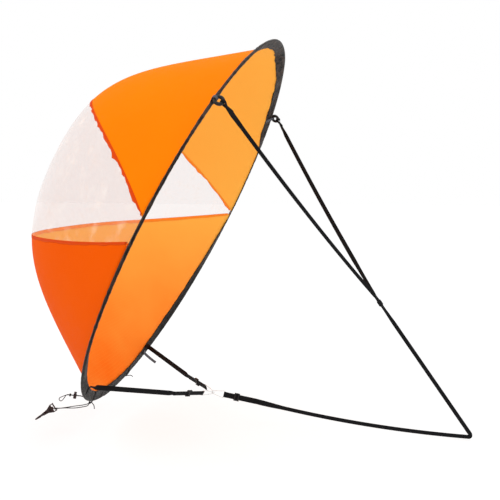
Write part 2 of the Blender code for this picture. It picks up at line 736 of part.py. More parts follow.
Z_UP = Vector((0.0, 0.0, 1.0))
NEAR_ANCHOR = CENTRE + ROD_CIRCLE * outward(LOWER_STRAP_DEG)
FAR_ANCHOR = CENTRE + ROD_CIRCLE * outward(-LOWER_STRAP_DEG)


def ring_setting(towards, roll_deg, reach, lift):
    """Direction, bar direction and bar centre of a wire ring linked at the ring node."""
    run = (towards - RING_NODE).normalized()
    bar = turned(run, Z_UP, roll_deg)
    return run, bar, RING_NODE + (RING_HEIGHT - reach) * run + lift * bar


SHEET_RING = ring_setting(RING_NODE + SHEET_RING_WAY, SHEET_RING_ROLL_DEG, SHEET_RING_PASS, SHEET_RING_SHIFT)
NEAR_RING = ring_setting(NEAR_ANCHOR, NEAR_RING_ROLL_DEG, NEAR_RING_PASS, NEAR_RING_SHIFT)
FAR_RING = ring_setting(FAR_ANCHOR, FAR_RING_ROLL_DEG, FAR_RING_PASS, FAR_RING_SHIFT)


def ring_outline():
    """The ring's centre line: x from the bar to the tip, y along the bar."""
    half = math.atan2(RING_BASE / 2, RING_HEIGHT + RING_TIP_RADIUS)
    tip = Vector((RING_HEIGHT - RING_TIP_RADIUS + RING_TIP_RADIUS / math.sin(half), 0.0))
    corners = [(tip, RING_TIP_RADIUS), (Vector((0.0, RING_BASE / 2)), RING_CORNER_RADIUS),
               (Vector((0.0, -RING_BASE / 2)), RING_CORNER_RADIUS)]
    places = []
    for i, (corner, radius) in enumerate(corners):
        to_last = (corners[i - 1][0] - corner).normalized()
        to_next = (corners[(i + 1) % 3][0] - corner).normalized()
        opening = to_last.angle(to_next)
        centre = corner + (to_last + to_next).normalized() * radius / math.sin(opening / 2)
        first = corner + to_last * radius / math.tan(opening / 2) - centre
        last = corner + to_next * radius / math.tan(opening / 2) - centre
        sweep_angle = first.angle_signed(last)
        for k in range(6):
            a = -sweep_angle * k / 5
            places.append(centre + Matrix.Rotation(a, 2) @ first)
    return places


def make_rings(bodies):
    for name, setting in (("sheet_ring", SHEET_RING), ("near_ring", NEAR_RING), ("far_ring", FAR_RING)):
        run, bar, place = setting
        frame = basis(place, -run, bar)
        points = [frame @ Vector((p.x, p.y, 0.0)) for p in ring_outline()]
        tube(name, points, RING_WIRE, WHITE_WIRE, bodies[name], 1, closed=True)


def make_slider(name, setting, seat, parent):
    """Side rails, two bars over the strap's ends and one bar under its middle."""
    run, bar, place = setting
    frame = basis(place + seat * run, run, bar)
    deep = WEBBING_THICKNESS + CLEAR / 2 + RUN
    wide = WEBBING_WIDTH / 2 + RUN
    half = SLIDER_LENGTH / 2
    outer = deep + SLIDER_BAR_HEIGHT
    bevel = SLIDER_RAIL / 4
    rails = []
    for side in (-1, 1):
        ends = sorted((side * wide, side * (wide + SLIDER_RAIL)))
        rail = box(bmesh.new(), frame, (-half, ends[0], -outer), (half, ends[1], outer))
        bmesh.ops.bevel(rail, geom=rail.edges[:], offset=bevel, affect="EDGES", segments=1, profile=0.5)
        rails.append(rail)
    slider = add_mesh(name, rails[0], BLACK_PLASTIC, parent, 40)
    boolean(slider, rails[1], "UNION")
    reach = wide + SLIDER_RAIL / 2
    inset = bevel / 2
    end, low = half - bevel - inset, outer - bevel
    for first, last, side in ((-end, SLIDER_BAR - end, 1), (end - SLIDER_BAR, end, 1),
                              (-SLIDER_BAR / 2, SLIDER_BAR / 2, -1)):
        ends = sorted((side * deep, side * low))
        boolean(slider, box(bmesh.new(), frame, (first, -reach, ends[0]), (last, reach, ends[1])), "UNION")


def lower_strap(name, setting, deg, sail):
    """From the ring's bar, folded back under itself, to the sleeve's aft face."""
    run, bar, place = setting
    face = run.cross(bar)
    places = folded_end(place, run, face, RING_WIRE, STRAP_TAIL, STRAP_TAPER)
    stops = [(where, bar) for where in places]
    level = (WEBBING_THICKNESS + CLEAR) / 2
    for share in (0.35, 0.7, 1.0):
        reach = STRAP_TAPER + (STRAP_TAIL - STRAP_TAPER) * share
        stops.append((place + run * reach + face * level, bar))
    frame = rim_frame(deg)
    face_line = sleeve_outline(SLEEVE_WALL + CLEAR * 1.5 + WEBBING_THICKNESS / 2)[2:5]
    landing = [frame @ Vector((x, y, 0.0)) for x, y in reversed(face_line)]
    across = along(deg)
    start = stops[-1][0]
    last = landing[0] + (start - landing[0]).normalized() * WEBBING_WIDTH / 2
    count = TWIST_STEPS
    for i, where in enumerate(straight(start, last, count)):
        share = (i + 1) / count
        stops.append((where, twist_between(bar, across, (last - start).normalized(), share)))
    stops.append((last, across))
    stops += [(where, across, 1.0, True) for where in landing]
    webbing(name, stops, WEBBING_WIDTH, WEBBING_THICKNESS, BLACK_WEBBING, sail)


SHEET_DOWN = (SHEET_BEND - BRIDLE_JOINT).normalized()
SHEET_ACROSS = turned(SHEET_DOWN, NEAR, SHEET_ROLL_DEG)


def sheet_route():
    """The sheet's places: straight down from the bridle, round the hand-held bend, back with a sag."""
    run, bar, place = SHEET_RING
    face = run.cross(bar)
    down = (SHEET_BEND - BRIDLE_JOINT).normalized()
    home = place + run * STRAP_TAIL
    back = (home - SHEET_BEND).normalized()
    side = down.cross(Vector((0.0, 1.0, 0.0))).normalized()
    if side.dot(back) < 0:
        side = -side
    head = BRIDLE_JOINT - down * WRAP_LENGTH * 0.45
    upper = [head.lerp(SHEET_BEND, i / 7) for i in range(7)]
    hub = SHEET_BEND + side * BEND_RADIUS
    start_angle = 0.0
    full = math.pi - down.angle(back)
    bend = [hub + BEND_RADIUS * (-math.cos(a) * side + math.sin(a) * down)
            for a in (start_angle + (full + 0.35) * k / 8 for k in range(9))]
    lower = straight(bend[-1], home, TWIST_STEPS, Vector((0.0, 0.0, -SHEET_SAG)))
    return upper, bend, lower, home, face, bar, run, place


def make_lines(sail):
    lower_strap("near_lower_strap", NEAR_RING, LOWER_STRAP_DEG, sail)
    lower_strap("far_lower_strap", FAR_RING, -LOWER_STRAP_DEG, sail)

    upper, bend, lower, home, face, bar, run, place = sheet_route()
    level = (WEBBING_THICKNESS + CLEAR) / 2
    stops = [(where, SHEET_ACROSS) for where in upper]
    stops += [(where, -NEAR) for where in bend]
    heading = (home - bend[-1]).normalized()
    for i, where in enumerate(lower):
        stops.append((where, twist_between(NEAR, bar, heading, (i + 1) / (len(lower) + 1))))
    for share in (1.0, 0.7, 0.35):
        reach = STRAP_TAPER + (STRAP_TAIL - STRAP_TAPER) * share
        stops.append((place + run * reach + face * level, bar))
    fold = folded_end(place, run, face, RING_WIRE, STRAP_TAIL, STRAP_TAPER)
    stops += [(where, bar) for where in reversed(fold)]
    webbing("sheet_strap", stops, WEBBING_WIDTH, WEBBING_THICKNESS, BLACK_WEBBING, sail)

    for name, deg, side in (("near_bridle_leg", EYE_DEG, 1.0), ("far_bridle_leg", -EYE_DEG, -1.0)):
        bridle_leg(name, deg, side, sail)

    stack = 1.5 * WEBBING_THICKNESS + 2 * CLEAR
    wide = WEBBING_WIDTH / 2 + CLEAR
    frames = [basis(BRIDLE_JOINT + SHEET_DOWN * x, SHEET_ACROSS, SHEET_DOWN.cross(SHEET_ACROSS))
              for x in (-WRAP_LENGTH / 2, WRAP_LENGTH / 2)]
    inner = [(-wide, -stack), (wide, -stack), (wide, stack), (-wide, stack)]
    w, t = wide + WRAP_WALL, stack + WRAP_WALL
    outer = [(-w, -t), (w, -t), (w, t), (-w, t)]
    add_mesh("bridle_wrap", sweep(bmesh.new(), outer, frames, inner), BLACK_WEBBING, sail, 40)

    frame = rim_frame(PULL_TAB_DEG)
    across = along(PULL_TAB_DEG)
    root = sleeve_outline(SLEEVE_WALL + CLEAR * 1.5 + PULL_TAB_THICKNESS / 2)[2:4]
    places = [frame @ Vector((x, y, 0.0)) for x, y in reversed(root)]
    lift = (places[-1] - places[0]).normalized()
    places += [places[-1] + lift * PULL_TAB_LENGTH * 0.1 + AFT * PULL_TAB_LENGTH * 0.1,
               places[-1] + lift * PULL_TAB_LENGTH * 0.25 + AFT * PULL_TAB_LENGTH * 0.5,
               places[-1] + lift * PULL_TAB_LENGTH * 0.35 + AFT * PULL_TAB_LENGTH * 0.95]
    webbing("pull_tab", [(where, across) for where in places], PULL_TAB_WIDTH, PULL_TAB_THICKNESS,
            GREY_WEBBING, sail)


def bridle_leg(name, deg, side, sail):
    """From the eye ring's wire, folded back on itself, to the sheet's head."""
    centre, _, tangent = eye_setting(deg)
    aim = BRIDLE_JOINT - SHEET_DOWN * WRAP_LENGTH
    flat = aim - centre
    in_plane = (flat - flat.dot(eye_axis(deg)) * eye_axis(deg)).normalized()
    bar = centre + EYE_MEAN_RADIUS * in_plane
    axis = eye_axis(deg).cross(in_plane).normalized()
    if axis.dot(tangent) < 0:
        axis = -axis
    run = (aim - bar + Vector((0.0, 0.0, -BRIDLE_SAG))).normalized()
    run = (run - run.dot(axis) * axis).normalized()
    face = run.cross(axis)
    fold = folded_end(bar, run, face, EYE_WIRE_RADIUS + EYE_CURVE, EYE_TAIL, EYE_TAPER)
    shares = [1.0, 0.8] + [EYE_FOLD_WIDTH / WEBBING_WIDTH] * (len(fold) - 2)
    shares[2] = 0.6
    stops = [(where, axis, share) for where, share in zip(fold, shares)]
    level = (WEBBING_THICKNESS + CLEAR) / 2
    stops[-1] = (stops[-1][0], axis, 0.6)
    for share in (0.5, 1.0):
        stops.append((bar + run * (EYE_TAPER + (EYE_TAIL - EYE_TAPER) * share) + face * level, axis, 1.0))
    layer = SHEET_DOWN.cross(SHEET_ACROSS) * (WEBBING_THICKNESS + CLEAR)
    if layer.dot(NEAR) * side < 0:
        layer = -layer
    last = BRIDLE_JOINT - SHEET_DOWN * WRAP_LENGTH * 1.2 + layer
    start = stops[-1][0]
    heading = (last - start).normalized()
    count = TWIST_STEPS
    for i, where in enumerate(straight(start, last, count, Vector((0.0, 0.0, -BRIDLE_SAG)))):
        share = (i + 1) / count
        stops.append((where, twist_between(axis, SHEET_ACROSS, heading, share), 1.0 - 0.3 * share ** 4))
    stops.append((last, SHEET_ACROSS, 0.7))
    stops.append((BRIDLE_JOINT - SHEET_DOWN * WRAP_LENGTH * 0.7 + layer, SHEET_ACROSS, 0.7))
    stops.append((BRIDLE_JOINT + SHEET_DOWN * WRAP_LENGTH * 0.45 + layer, SHEET_ACROSS, 0.7))
    webbing(name, stops, WEBBING_WIDTH, WEBBING_THICKNESS, BLACK_WEBBING, sail)


def eye_setting(deg):
    """Centre of the eye ring, its wire's place in the tab, and the wire's direction there."""
    frame = rim_frame(deg)
    wire = frame @ Vector((-EYE_WIRE_OUT, 0.0, 0.0))
    tangent = along(deg)
    hang_way = EYE_HANG.copy()
    if deg < 0:
        hang_way.y = -hang_way.y
    hang_way = (hang_way - hang_way.dot(tangent) * tangent).normalized()
    return wire + EYE_MEAN_RADIUS * hang_way, wire, tangent


def eye_axis(deg):
    centre, wire, tangent = eye_setting(deg)
    return (wire - centre).normalized().cross(tangent).normalized()


def make_eyes(sail):
    for side, deg in (("near", EYE_DEG), ("far", -EYE_DEG)):
        centre, wire, tangent = eye_setting(deg)
        ring_frame = basis(centre, (wire - centre).normalized(), tangent)
        bm = bmesh.new()
        section = [ring_frame @ Vector((EYE_MEAN_RADIUS + x, 0.0, z))
                   for x, z in circle(EYE_WIRE_RADIUS, FINE_SIDES)]
        verts = [bm.verts.new(place) for place in section]
        edges = [bm.edges.new((verts[i - 1], verts[i])) for i in range(len(verts))]
        bmesh.ops.spin(bm, geom=verts + edges, cent=centre, axis=eye_axis(deg), angle=math.tau,
                       steps=FINE_SIDES * 2, use_merge=True)
        add_mesh(side + "_eye_ring", bm, BLACK_PLASTIC, sail, 60)
        tab_over_sleeve(side + "_eye_tab", deg, wire, EYE_TAB_WIDTH, EYE_FOLD_WIDTH, WEBBING_THICKNESS,
                        EYE_WIRE_RADIUS + EYE_CURVE, along(deg), GREY_WEBBING, sail)


def tab_over_sleeve(name, deg, eye, width, fold_width, thickness, eye_radius, eye_line, surface, sail):
    """A folded tab: both legs on the sleeve's faces, the fold round something just outside its edge."""
    frame = rim_frame(deg)
    local = frame.inverted() @ eye
    reach = eye_radius + CLEAR + thickness / 2
    leg = sleeve_outline(SLEEVE_WALL + CLEAR * 1.5 + thickness / 2)[1:5]
    side = [Vector((x, y)) for x, y in reversed(leg[1:])]
    eye_flat = Vector((local.x, local.y))
    arc = []
    for k in range(9):
        a = math.pi * (k / 8)
        arc.append(eye_flat + reach * Vector((-math.sin(a), math.cos(a))))
    flats = side + arc + [Vector((p.x, -p.y)) for p in reversed(side)]
    line = frame.inverted().to_3x3() @ eye_line
    stops = []
    for i, flat in enumerate(flats):
        folded = len(side) <= i < len(side) + len(arc)
        stops.append((frame @ Vector((flat.x, flat.y, 0.0)), eye_line if folded else along(deg),
                      fold_width / width if folded else 1.0))
    webbing(name, stops, width, thickness, surface, sail)


# Deck ties, with the cords' knots and tails
def knot(name, place, radius, way, surface, parent):
    """A tight knot, drawn as a slightly long ball."""
    frame = basis(place, way, way.orthogonal())
    bm = bmesh.new()
    bmesh.ops.create_uvsphere(bm, u_segments=FINE_SIDES, v_segments=ROUND_SIDES, radius=radius,
                              matrix=frame @ Matrix.Diagonal((1.0, 0.88, 0.94, 1.0)))
    add_mesh(name, bm, surface, parent, 60)


def make_ties(root, sail):
    for side, sign in (("near", -1.0), ("far", 1.0)):
        deg = -sign * TIE_DEG
        eye = Vector((0.0, sign * TIE_Y, 0.0))
        tab_over_sleeve(side + "_tie_tab", deg, eye, TIE_TAB_WIDTH, TIE_TAB_WIDTH, TIE_TAB_THICKNESS,
                        CORD_RADIUS + RUN, NEAR, BLACK_CORD, sail)
        place = eye - Vector((0.0, sign * KNOT_OFFSET, KNOT_DROP))
        knot(side + "_tie_knot", place, KNOT_RADIUS, NEAR, BLACK_CORD, root)
        tip = place + (NEAR_TAIL_REACH if side == "near" else FAR_TAIL_REACH)
        way = (tip - place).normalized()
        start = place + way * (KNOT_RADIUS + CLEAR)
        points = smooth_route([start, start.lerp(tip, 0.6) + UP * TAIL_BOW, tip], 4 * TAIL_RADIUS)
        tube(side + "_tie_tail", points, TAIL_RADIUS, BLACK_CORD, root)


def eye_strand(sign):
    """From the knot out through the tie's eye and round towards the bow."""
    eye = Vector((0.0, sign * TIE_Y, 0.0))
    first = Vector((0.0, sign * (TIE_Y - KNOT_OFFSET + KNOT_RADIUS + CLEAR), 0.0))
    beyond = [eye + Vector((-bow, sign * out, -down)) for bow, out, down in EYE_STRAND_STEPS]
    return [first, eye] + beyond


def knot_strand(sign):
    """From the knot straight towards the bow, below the sleeve."""
    y = sign * (TIE_Y - KNOT_OFFSET)
    bow, out, down = KNOT_STRAND_STEP
    return [Vector((-(KNOT_RADIUS + CLEAR), y, -KNOT_DROP)), Vector((-bow, y + sign * out, -down))]


HOOK_FRAME = basis(HOOK_BAR_CENTRE, HOOK_AXIS, HOOK_BAR_WAY)


def gate_pivot():
    """Where the gate turns: just behind the shank's root bar."""
    jaw_start = HOOK_BAR_RADIUS + HOOK_SLOT + HOOK_BODY_LENGTH + CLEAR + RUN + COLLAR_LENGTH * 0.75
    return HOOK_FRAME @ Vector((jaw_start + JAW_BAR, 0.0, JAW_HALF_WIDTH - GATE_BOSS_RADIUS))


def hook_cord(root):
    """The doubled cord from the near knot to the frame's bar and back."""
    seat = HOOK_BAR_CENTRE + HOOK_BAR_WAY * CORD_SEAT_ON_BAR
    round_bar = HOOK_BAR_RADIUS + CLEAR * 2 + CORD_RADIUS
    arc = []
    for k in range(9):
        a = math.pi * (k / 8 * 1.2 - 0.1)
        arc.append(seat + round_bar * (math.cos(a) * NEAR + math.sin(a) * HOOK_AXIS))
    line = Vector((0.0, HOOK_BAR_CENTRE.y, 0.0))
    half = Vector((0.0, STRAND_HALF, 0.0))
    out = [HOOK_STRAND_BOW + line - Vector((0.0, HOOK_STRAND_OUT_Y, 0.0)),
           HOOK_STRAND_MIDDLE + line - half, HOOK_STRAND_END + line - half]
    home = [HOOK_STRAND_END + line + half, HOOK_STRAND_MIDDLE + line + half,
            HOOK_STRAND_BOW + line + Vector((0.0, HOOK_STRAND_HOME_Y, 0.0))]
    spacing = 5 * CORD_RADIUS
    first = smooth_route(eye_strand(-1.0) + out + [arc[0]], spacing)
    last = smooth_route([arc[-1]] + home + list(reversed(knot_strand(-1.0))), spacing)
    tube("hook_cord", first[:-1] + arc + last[1:], CORD_RADIUS, BLACK_CORD, root)


def make_hook(root, bodies):
    hook_cord(root)
    frame = HOOK_FRAME

    # The flat frame that hangs on the cord
    half = HOOK_BAR_LENGTH / 2
    slot_end = HOOK_BAR_RADIUS + HOOK_SLOT
    body_end = slot_end + HOOK_BODY_LENGTH
    outline = [(-HOOK_BAR_RADIUS, -half), (slot_end, -half), (body_end, -HOOK_NECK_WIDTH / 2),
               (body_end, HOOK_NECK_WIDTH / 2), (slot_end, half), (-HOOK_BAR_RADIUS, half)]
    lift = [frame @ Matrix.Translation((0.0, 0.0, z)) for z in (-HOOK_PLATE / 2, HOOK_PLATE / 2)]
    plate = sweep(bmesh.new(), outline, lift)
    bmesh.ops.bevel(plate, geom=plate.edges[:], offset=HOOK_PLATE / 8, affect="EDGES", segments=2,
                    profile=0.5)
    body = add_mesh("hook_frame", plate, BLACK_PLASTIC, bodies["hook_frame"], 40)
    inner = half - HOOK_RAIL
    boolean(body, box(bmesh.new(), frame, (-half, -inner, -half), (slot_end, inner, half)), "DIFFERENCE")
    across = basis(frame.translation, HOOK_AXIS, NEAR)
    bar = rod_between(bmesh.new(), across, -half + HOOK_RAIL / 2, half - HOOK_RAIL / 2, HOOK_BAR_RADIUS)
    boolean(body, bar, "UNION")
    lengthwise = basis(frame.translation, HOOK_BAR_WAY, NEAR)
    if lengthwise.col[2].to_3d().dot(HOOK_AXIS) < 0:
        lengthwise = basis(frame.translation, NEAR, HOOK_BAR_WAY)
    barrel_start = body_end - HOOK_BODY_LENGTH * 0.55
    barrel = rod_between(bmesh.new(), lengthwise, barrel_start, body_end + CLEAR, HOOK_BARREL_RADIUS)
    boolean(body, barrel, "UNION")
    boolean(body, rod_between(bmesh.new(), lengthwise, slot_end - HOOK_RAIL / 4, body_end + half,
                              STEM_RADIUS + RUN), "DIFFERENCE")

    # The shank that swivels in it, one turned stem with a flat open jaw
    head_end = slot_end - RUN
    collar_start = body_end + CLEAR + RUN
    collar_end = collar_start + COLLAR_LENGTH
    jaw_start = collar_end - COLLAR_LENGTH / 4
    head = rod_between(bmesh.new(), lengthwise, head_end - STEM_HEAD_LENGTH, head_end, STEM_HEAD_RADIUS)
    shank = add_mesh("hook_shank", head, BLACK_PLASTIC, bodies["hook_shank"], 40)
    boolean(shank, rod_between(bmesh.new(), lengthwise, head_end - STEM_HEAD_LENGTH / 2,
                               collar_start + COLLAR_LENGTH / 2, STEM_RADIUS), "UNION")
    boolean(shank, rod_between(bmesh.new(), lengthwise, collar_start, collar_end, COLLAR_RADIUS), "UNION")
    boolean(shank, jaw(frame, jaw_start), "UNION")
    pivot = gate_pivot()
    reach = JAW_LENGTH * 0.45
    slot = GATE_WIDTH / 2 + RUN
    local = basis(pivot, HOOK_AXIS, HOOK_BAR_WAY)
    cut = GATE_BOSS_RADIUS + RUN
    boolean(shank, box(bmesh.new(), local, (-cut, -slot, -2 * cut), (reach, slot, 2 * cut)), "DIFFERENCE")
    pin_frame = basis(pivot, HOOK_AXIS, NEAR)
    thick = JAW_THICK_ROOT / 2
    bore = rod_between(bmesh.new(), pin_frame, -2 * thick, 2 * thick, GATE_PIN_RADIUS + CLEAR)
    boolean(shank, bore, "DIFFERENCE")
    add_mesh("gate_pin", rod_between(bmesh.new(), pin_frame, -thick * 0.9, thick * 0.9, GATE_PIN_RADIUS),
             SPRING_STEEL, bodies["hook_shank"], 40)

    # The gate closes the jaw from inside its nose
    nose = JAW_HALF_WIDTH - JAW_BAR - CLEAR
    tip_x = JAW_LENGTH * GATE_NOSE_SHARE + GATE_BOSS_RADIUS
    drop = nose - (JAW_HALF_WIDTH - GATE_BOSS_RADIUS)
    r = GATE_BOSS_RADIUS
    end = tip_x - JAW_BAR
    mouth = JAW_LENGTH * GATE_NOSE_SHARE - 2 * JAW_BAR - CLEAR
    outline = [(-r, 0.0), (-r * 0.7, -r * 0.7), (0.0, -r), (end, drop - GATE_THICKNESS), (end, drop),
               (mouth, drop), (r, r * 0.4), (0.0, r), (-r * 0.7, r * 0.7)]
    lift = [basis(pivot, HOOK_AXIS, NEAR) @ Matrix.Translation((0.0, 0.0, z))
            for z in (-GATE_WIDTH / 2, GATE_WIDTH / 2)]
    gate = add_mesh("hook_gate", sweep(bmesh.new(), outline, lift), BLACK_PLASTIC, bodies["hook_gate"], 40)
    boolean(gate, rod_between(bmesh.new(), pin_frame, -GATE_WIDTH, GATE_WIDTH, GATE_PIN_RADIUS + CLEAR),
            "DIFFERENCE")


def jaw(frame, start):
    """The shank's open jaw, thinner towards its end."""
    w, b, reach = JAW_HALF_WIDTH, JAW_BAR, JAW_LENGTH
    nose = reach * GATE_NOSE_SHARE - JAW_BAR
    outline = [(0.0, -w * 0.45), (b, -w), (reach * 0.66, -w), (reach * 0.87, -w * 0.74),
               (reach * 0.98, -w * 0.3), (reach, w * 0.2), (reach * 0.93, w * 0.72), (reach * 0.8, w),
               (nose, w), (nose, w - b), (reach * 0.76, w - b), (reach * 0.84, w * 0.3),
               (reach * 0.86, 0.0), (reach * 0.8, -w * 0.35), (reach * 0.64, b - w), (b * 2.2, b - w),
               (b * 1.7, b * 1.1 - w), (b * 1.7, w), (b * 0.5, w), (0.0, w * 0.45)]
    turned_frame = basis(frame @ Vector((start, 0.0, 0.0)), HOOK_AXIS, NEAR)
    lift = [turned_frame @ Matrix.Translation((0.0, 0.0, z))
            for z in (-JAW_THICK_ROOT / 2, JAW_THICK_ROOT / 2)]
    bm = sweep(bmesh.new(), outline, lift)
    back = turned_frame.inverted()
    for vert in bm.verts:
        local = back @ vert.co
        share = local.x / reach
        local.z *= 1 + (JAW_THICK_TIP / JAW_THICK_ROOT - 1) * share
        vert.co = turned_frame @ local
    return bm


def make_lock(bodies):
    """The cord lock on the loop's two strands."""
    hole = lock_frame()
    way, across, axis = (hole.col[i].to_3d() for i in range(3))
    bore = LOCK_RADIUS - LOCK_WALL
    barrel = add_mesh("lock_barrel", rod_between(bmesh.new(), hole, -LOCK_BELOW, LOCK_ABOVE, LOCK_RADIUS),
                      BLACK_PLASTIC, bodies["lock_barrel"], 40)
    well = rod_between(bmesh.new(), hole, LOCK_FLOOR - LOCK_BELOW, LOCK_ABOVE * 2, bore)
    boolean(barrel, well, "DIFFERENCE")
    w, h = LOCK_HOLE_WIDTH / 2, LOCK_HOLE_HEIGHT / 2
    reach = LOCK_RADIUS * 2
    boolean(barrel, box(bmesh.new(), hole, (-reach, -w, -h), (reach, w, h)), "DIFFERENCE")

    foot = -CORD_RADIUS - CLEAR
    top = h + PLUNGER_TRAVEL
    cap = LOCK_ABOVE + PLUNGER_TRAVEL + RUN
    stem = rod_between(bmesh.new(), hole, foot - PLUNGER_WEB, cap + PLUNGER_CAP / 2, bore - RUN)
    plunger = add_mesh("lock_plunger", stem, BLACK_PLASTIC, bodies["lock_plunger"], 40)
    boolean(plunger, rod_between(bmesh.new(), hole, cap, cap + PLUNGER_CAP, PLUNGER_CAP_RADIUS), "UNION")
    boolean(plunger, box(bmesh.new(), hole, (-reach, -STRAND_HALF - CORD_RADIUS - CLEAR, foot),
                         (reach, STRAND_HALF + CORD_RADIUS + CLEAR, top)), "DIFFERENCE")


def make_loop(root):
    """The doubled cord through the lock, its open loop and the knot that stops the lock."""
    hole = lock_frame()
    way, across, axis = (hole.col[i].to_3d() for i in range(3))
    spacing = 5 * CORD_RADIUS
    half = across * STRAND_HALF
    through = [LOCK_CENTRE + way * x for x in (LOCK_LEAD, LOCK_ENTRY, LOCK_EXIT, LOOP_ROOT)]
    root_place = through[-1]
    out = [STRAND_START + STRAND_SPREAD, STRAND_MIDDLE] + through
    home = list(reversed(through)) + [STRAND_MIDDLE, STRAND_START - STRAND_SPREAD]
    first = smooth_route(eye_strand(1.0) + [place - half for place in out], spacing)
    last = smooth_route([place + half for place in home] + list(reversed(knot_strand(1.0))), spacing)
    shoulder = LOOP_TIP - (LOOP_TIP - root_place).normalized() * LOOP_TIP_RUN
    middle = root_place.lerp(LOOP_TIP, 0.55)
    bow = across * LOOP_BOW
    loop = [root_place - half, middle - bow, shoulder - bow * 0.8, LOOP_TIP,
            shoulder + bow * 0.8, middle + bow, root_place + half]
    loop = smooth_route(loop, spacing * 0.6)
    tube("loop_cord", first + loop[1:-1] + last, CORD_RADIUS, BLACK_CORD, root)

    place = LOCK_CENTRE + way * (LOCK_RADIUS + STOP_KNOT_FROM_LOCK)
    bead_frame = basis(place, across, axis)
    inner = STRAND_HALF + CORD_RADIUS + CLEAR
    outer_r = inner + STOP_KNOT_WALL
    frames = [bead_frame @ Matrix.Translation((0.0, 0.0, z)) for z in
              (-STOP_KNOT_LENGTH / 2, -STOP_KNOT_LENGTH / 3, STOP_KNOT_LENGTH / 3, STOP_KNOT_LENGTH / 2)]
    bead = sweep(bmesh.new(), circle(outer_r, FINE_SIDES), frames, circle(inner, FINE_SIDES))
    back = bead_frame.inverted()
    for vert in bead.verts:
        local = back @ vert.co
        if abs(local.z) > STOP_KNOT_LENGTH * 0.4 and math.hypot(local.x, local.y) > inner * 1.05:
            shrink = (inner + STOP_KNOT_WALL * 0.5) / outer_r
            vert.co = bead_frame @ Vector((local.x * shrink, local.y * shrink, local.z))
    add_mesh("loop_stop_knot", bead, BLACK_CORD, root, 60)


def lock_frame():
    """Frame at the lock: x along the strands towards the loop, z up its barrel."""
    tilt = math.radians(LOCK_TILT_DEG)
    axis = Vector((math.sin(tilt), 0.0, math.cos(tilt)))
    way = STRAND_WAY - STRAND_WAY.dot(axis) * axis
    return basis(LOCK_CENTRE, way.normalized(), axis.cross(way.normalized()))


def main():
    root = axis_empty("deck_tie_axis", ORIGIN)
    sail = axis_empty("sail_lean_axis", ORIGIN)
    bodies = {}
    linked = (("sheet", SHEET_RING, SHEET_SLIDER_SEAT), ("near", NEAR_RING, SIDE_SLIDER_SEAT),
              ("far", FAR_RING, SIDE_SLIDER_SEAT))
    for side, setting, seat in linked:
        run, bar, place = setting
        bodies[side + "_ring"] = axis_empty(side + "_ring_axis", place, sail)
        bodies[side + "_slider"] = axis_empty(side + "_slider_axis", place + seat * run, sail)
    frame_axis = axis_empty("hook_swing_axis", HOOK_BAR_CENTRE, root)
    shank_axis = axis_empty("hook_swivel_axis", HOOK_BAR_CENTRE, frame_axis)
    bodies["hook_frame"] = frame_axis
    bodies["hook_shank"] = shank_axis
    bodies["hook_gate"] = axis_empty("hook_gate_axis", gate_pivot(), shank_axis)
    bodies["lock_barrel"] = axis_empty("lock_slide_axis", LOCK_CENTRE, root)
    bodies["lock_plunger"] = axis_empty("lock_plunger_axis", LOCK_CENTRE, bodies["lock_barrel"])
    make_hoop(sail)
    make_dish(sail)
    make_rings(bodies)
    make_eyes(sail)
    make_lines(sail)
    for side, setting, seat in linked:
        make_slider(side + "_slider", setting, seat, bodies[side + "_slider"])
    make_ties(root, sail)
    make_hook(root, bodies)
    make_lock(bodies)
    make_loop(root)


main()
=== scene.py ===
# %% [markdown]
# # A pop-up downwind sail for a canoe or kayak
#
# A sprung hoop in a dark fabric sleeve carries an orange cloth dish with a clear window across it. A webbing
# bridle and sheet run aft, where they are held, and come back to three linked wire rings. Two thin ties fix
# the foot to the deck. The CAD model is loaded first: its hard fittings stay, and finished pieces take the
# place of its soft solids. Everything is in metres, in the model's frame: +Z up, -X towards the bow, -Y the
# near side, and the origin on the line about which the sail leans.

# %% Load the CAD model
import math

import bmesh
import bpy
from mathutils import Matrix, Vector, noise


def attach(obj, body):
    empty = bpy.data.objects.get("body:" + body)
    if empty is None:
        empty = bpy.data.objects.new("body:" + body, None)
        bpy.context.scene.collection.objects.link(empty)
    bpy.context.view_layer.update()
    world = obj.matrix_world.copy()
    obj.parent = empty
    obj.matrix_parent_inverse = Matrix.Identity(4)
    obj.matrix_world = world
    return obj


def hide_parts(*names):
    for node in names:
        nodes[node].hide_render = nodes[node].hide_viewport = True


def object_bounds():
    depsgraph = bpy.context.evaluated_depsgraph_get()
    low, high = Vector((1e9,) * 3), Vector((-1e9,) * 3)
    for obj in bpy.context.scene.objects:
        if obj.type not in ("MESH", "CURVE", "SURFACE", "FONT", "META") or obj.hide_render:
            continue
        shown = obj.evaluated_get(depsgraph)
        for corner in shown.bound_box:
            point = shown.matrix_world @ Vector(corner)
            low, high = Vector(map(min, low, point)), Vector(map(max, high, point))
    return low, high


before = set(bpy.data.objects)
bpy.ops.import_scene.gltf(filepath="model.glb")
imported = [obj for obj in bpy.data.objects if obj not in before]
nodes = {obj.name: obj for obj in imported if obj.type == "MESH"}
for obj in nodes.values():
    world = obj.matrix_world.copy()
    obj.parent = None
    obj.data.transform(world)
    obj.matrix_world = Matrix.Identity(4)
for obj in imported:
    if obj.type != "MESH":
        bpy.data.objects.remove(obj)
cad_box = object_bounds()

# %% [markdown]
# ## Camera
#
# The photograph was taken from the near side, a little aft and above, with a long lens. A camera could be
# placed by eye, but a degree of error moves everything by some fifteen pixels. So its lens and its three
# directions were worked out from points whose places on the real sail are known.

# %% Make the camera
EYE = Vector((0.8044, -2.2891, 0.6353))
LOOK = Vector((-0.1725, 0.9797, -0.1024)).normalized()
LENS_MM = 62.64
SENSOR_MM = 36.0
CLIP_NEAR = 0.05
CLIP_FAR = 60.0

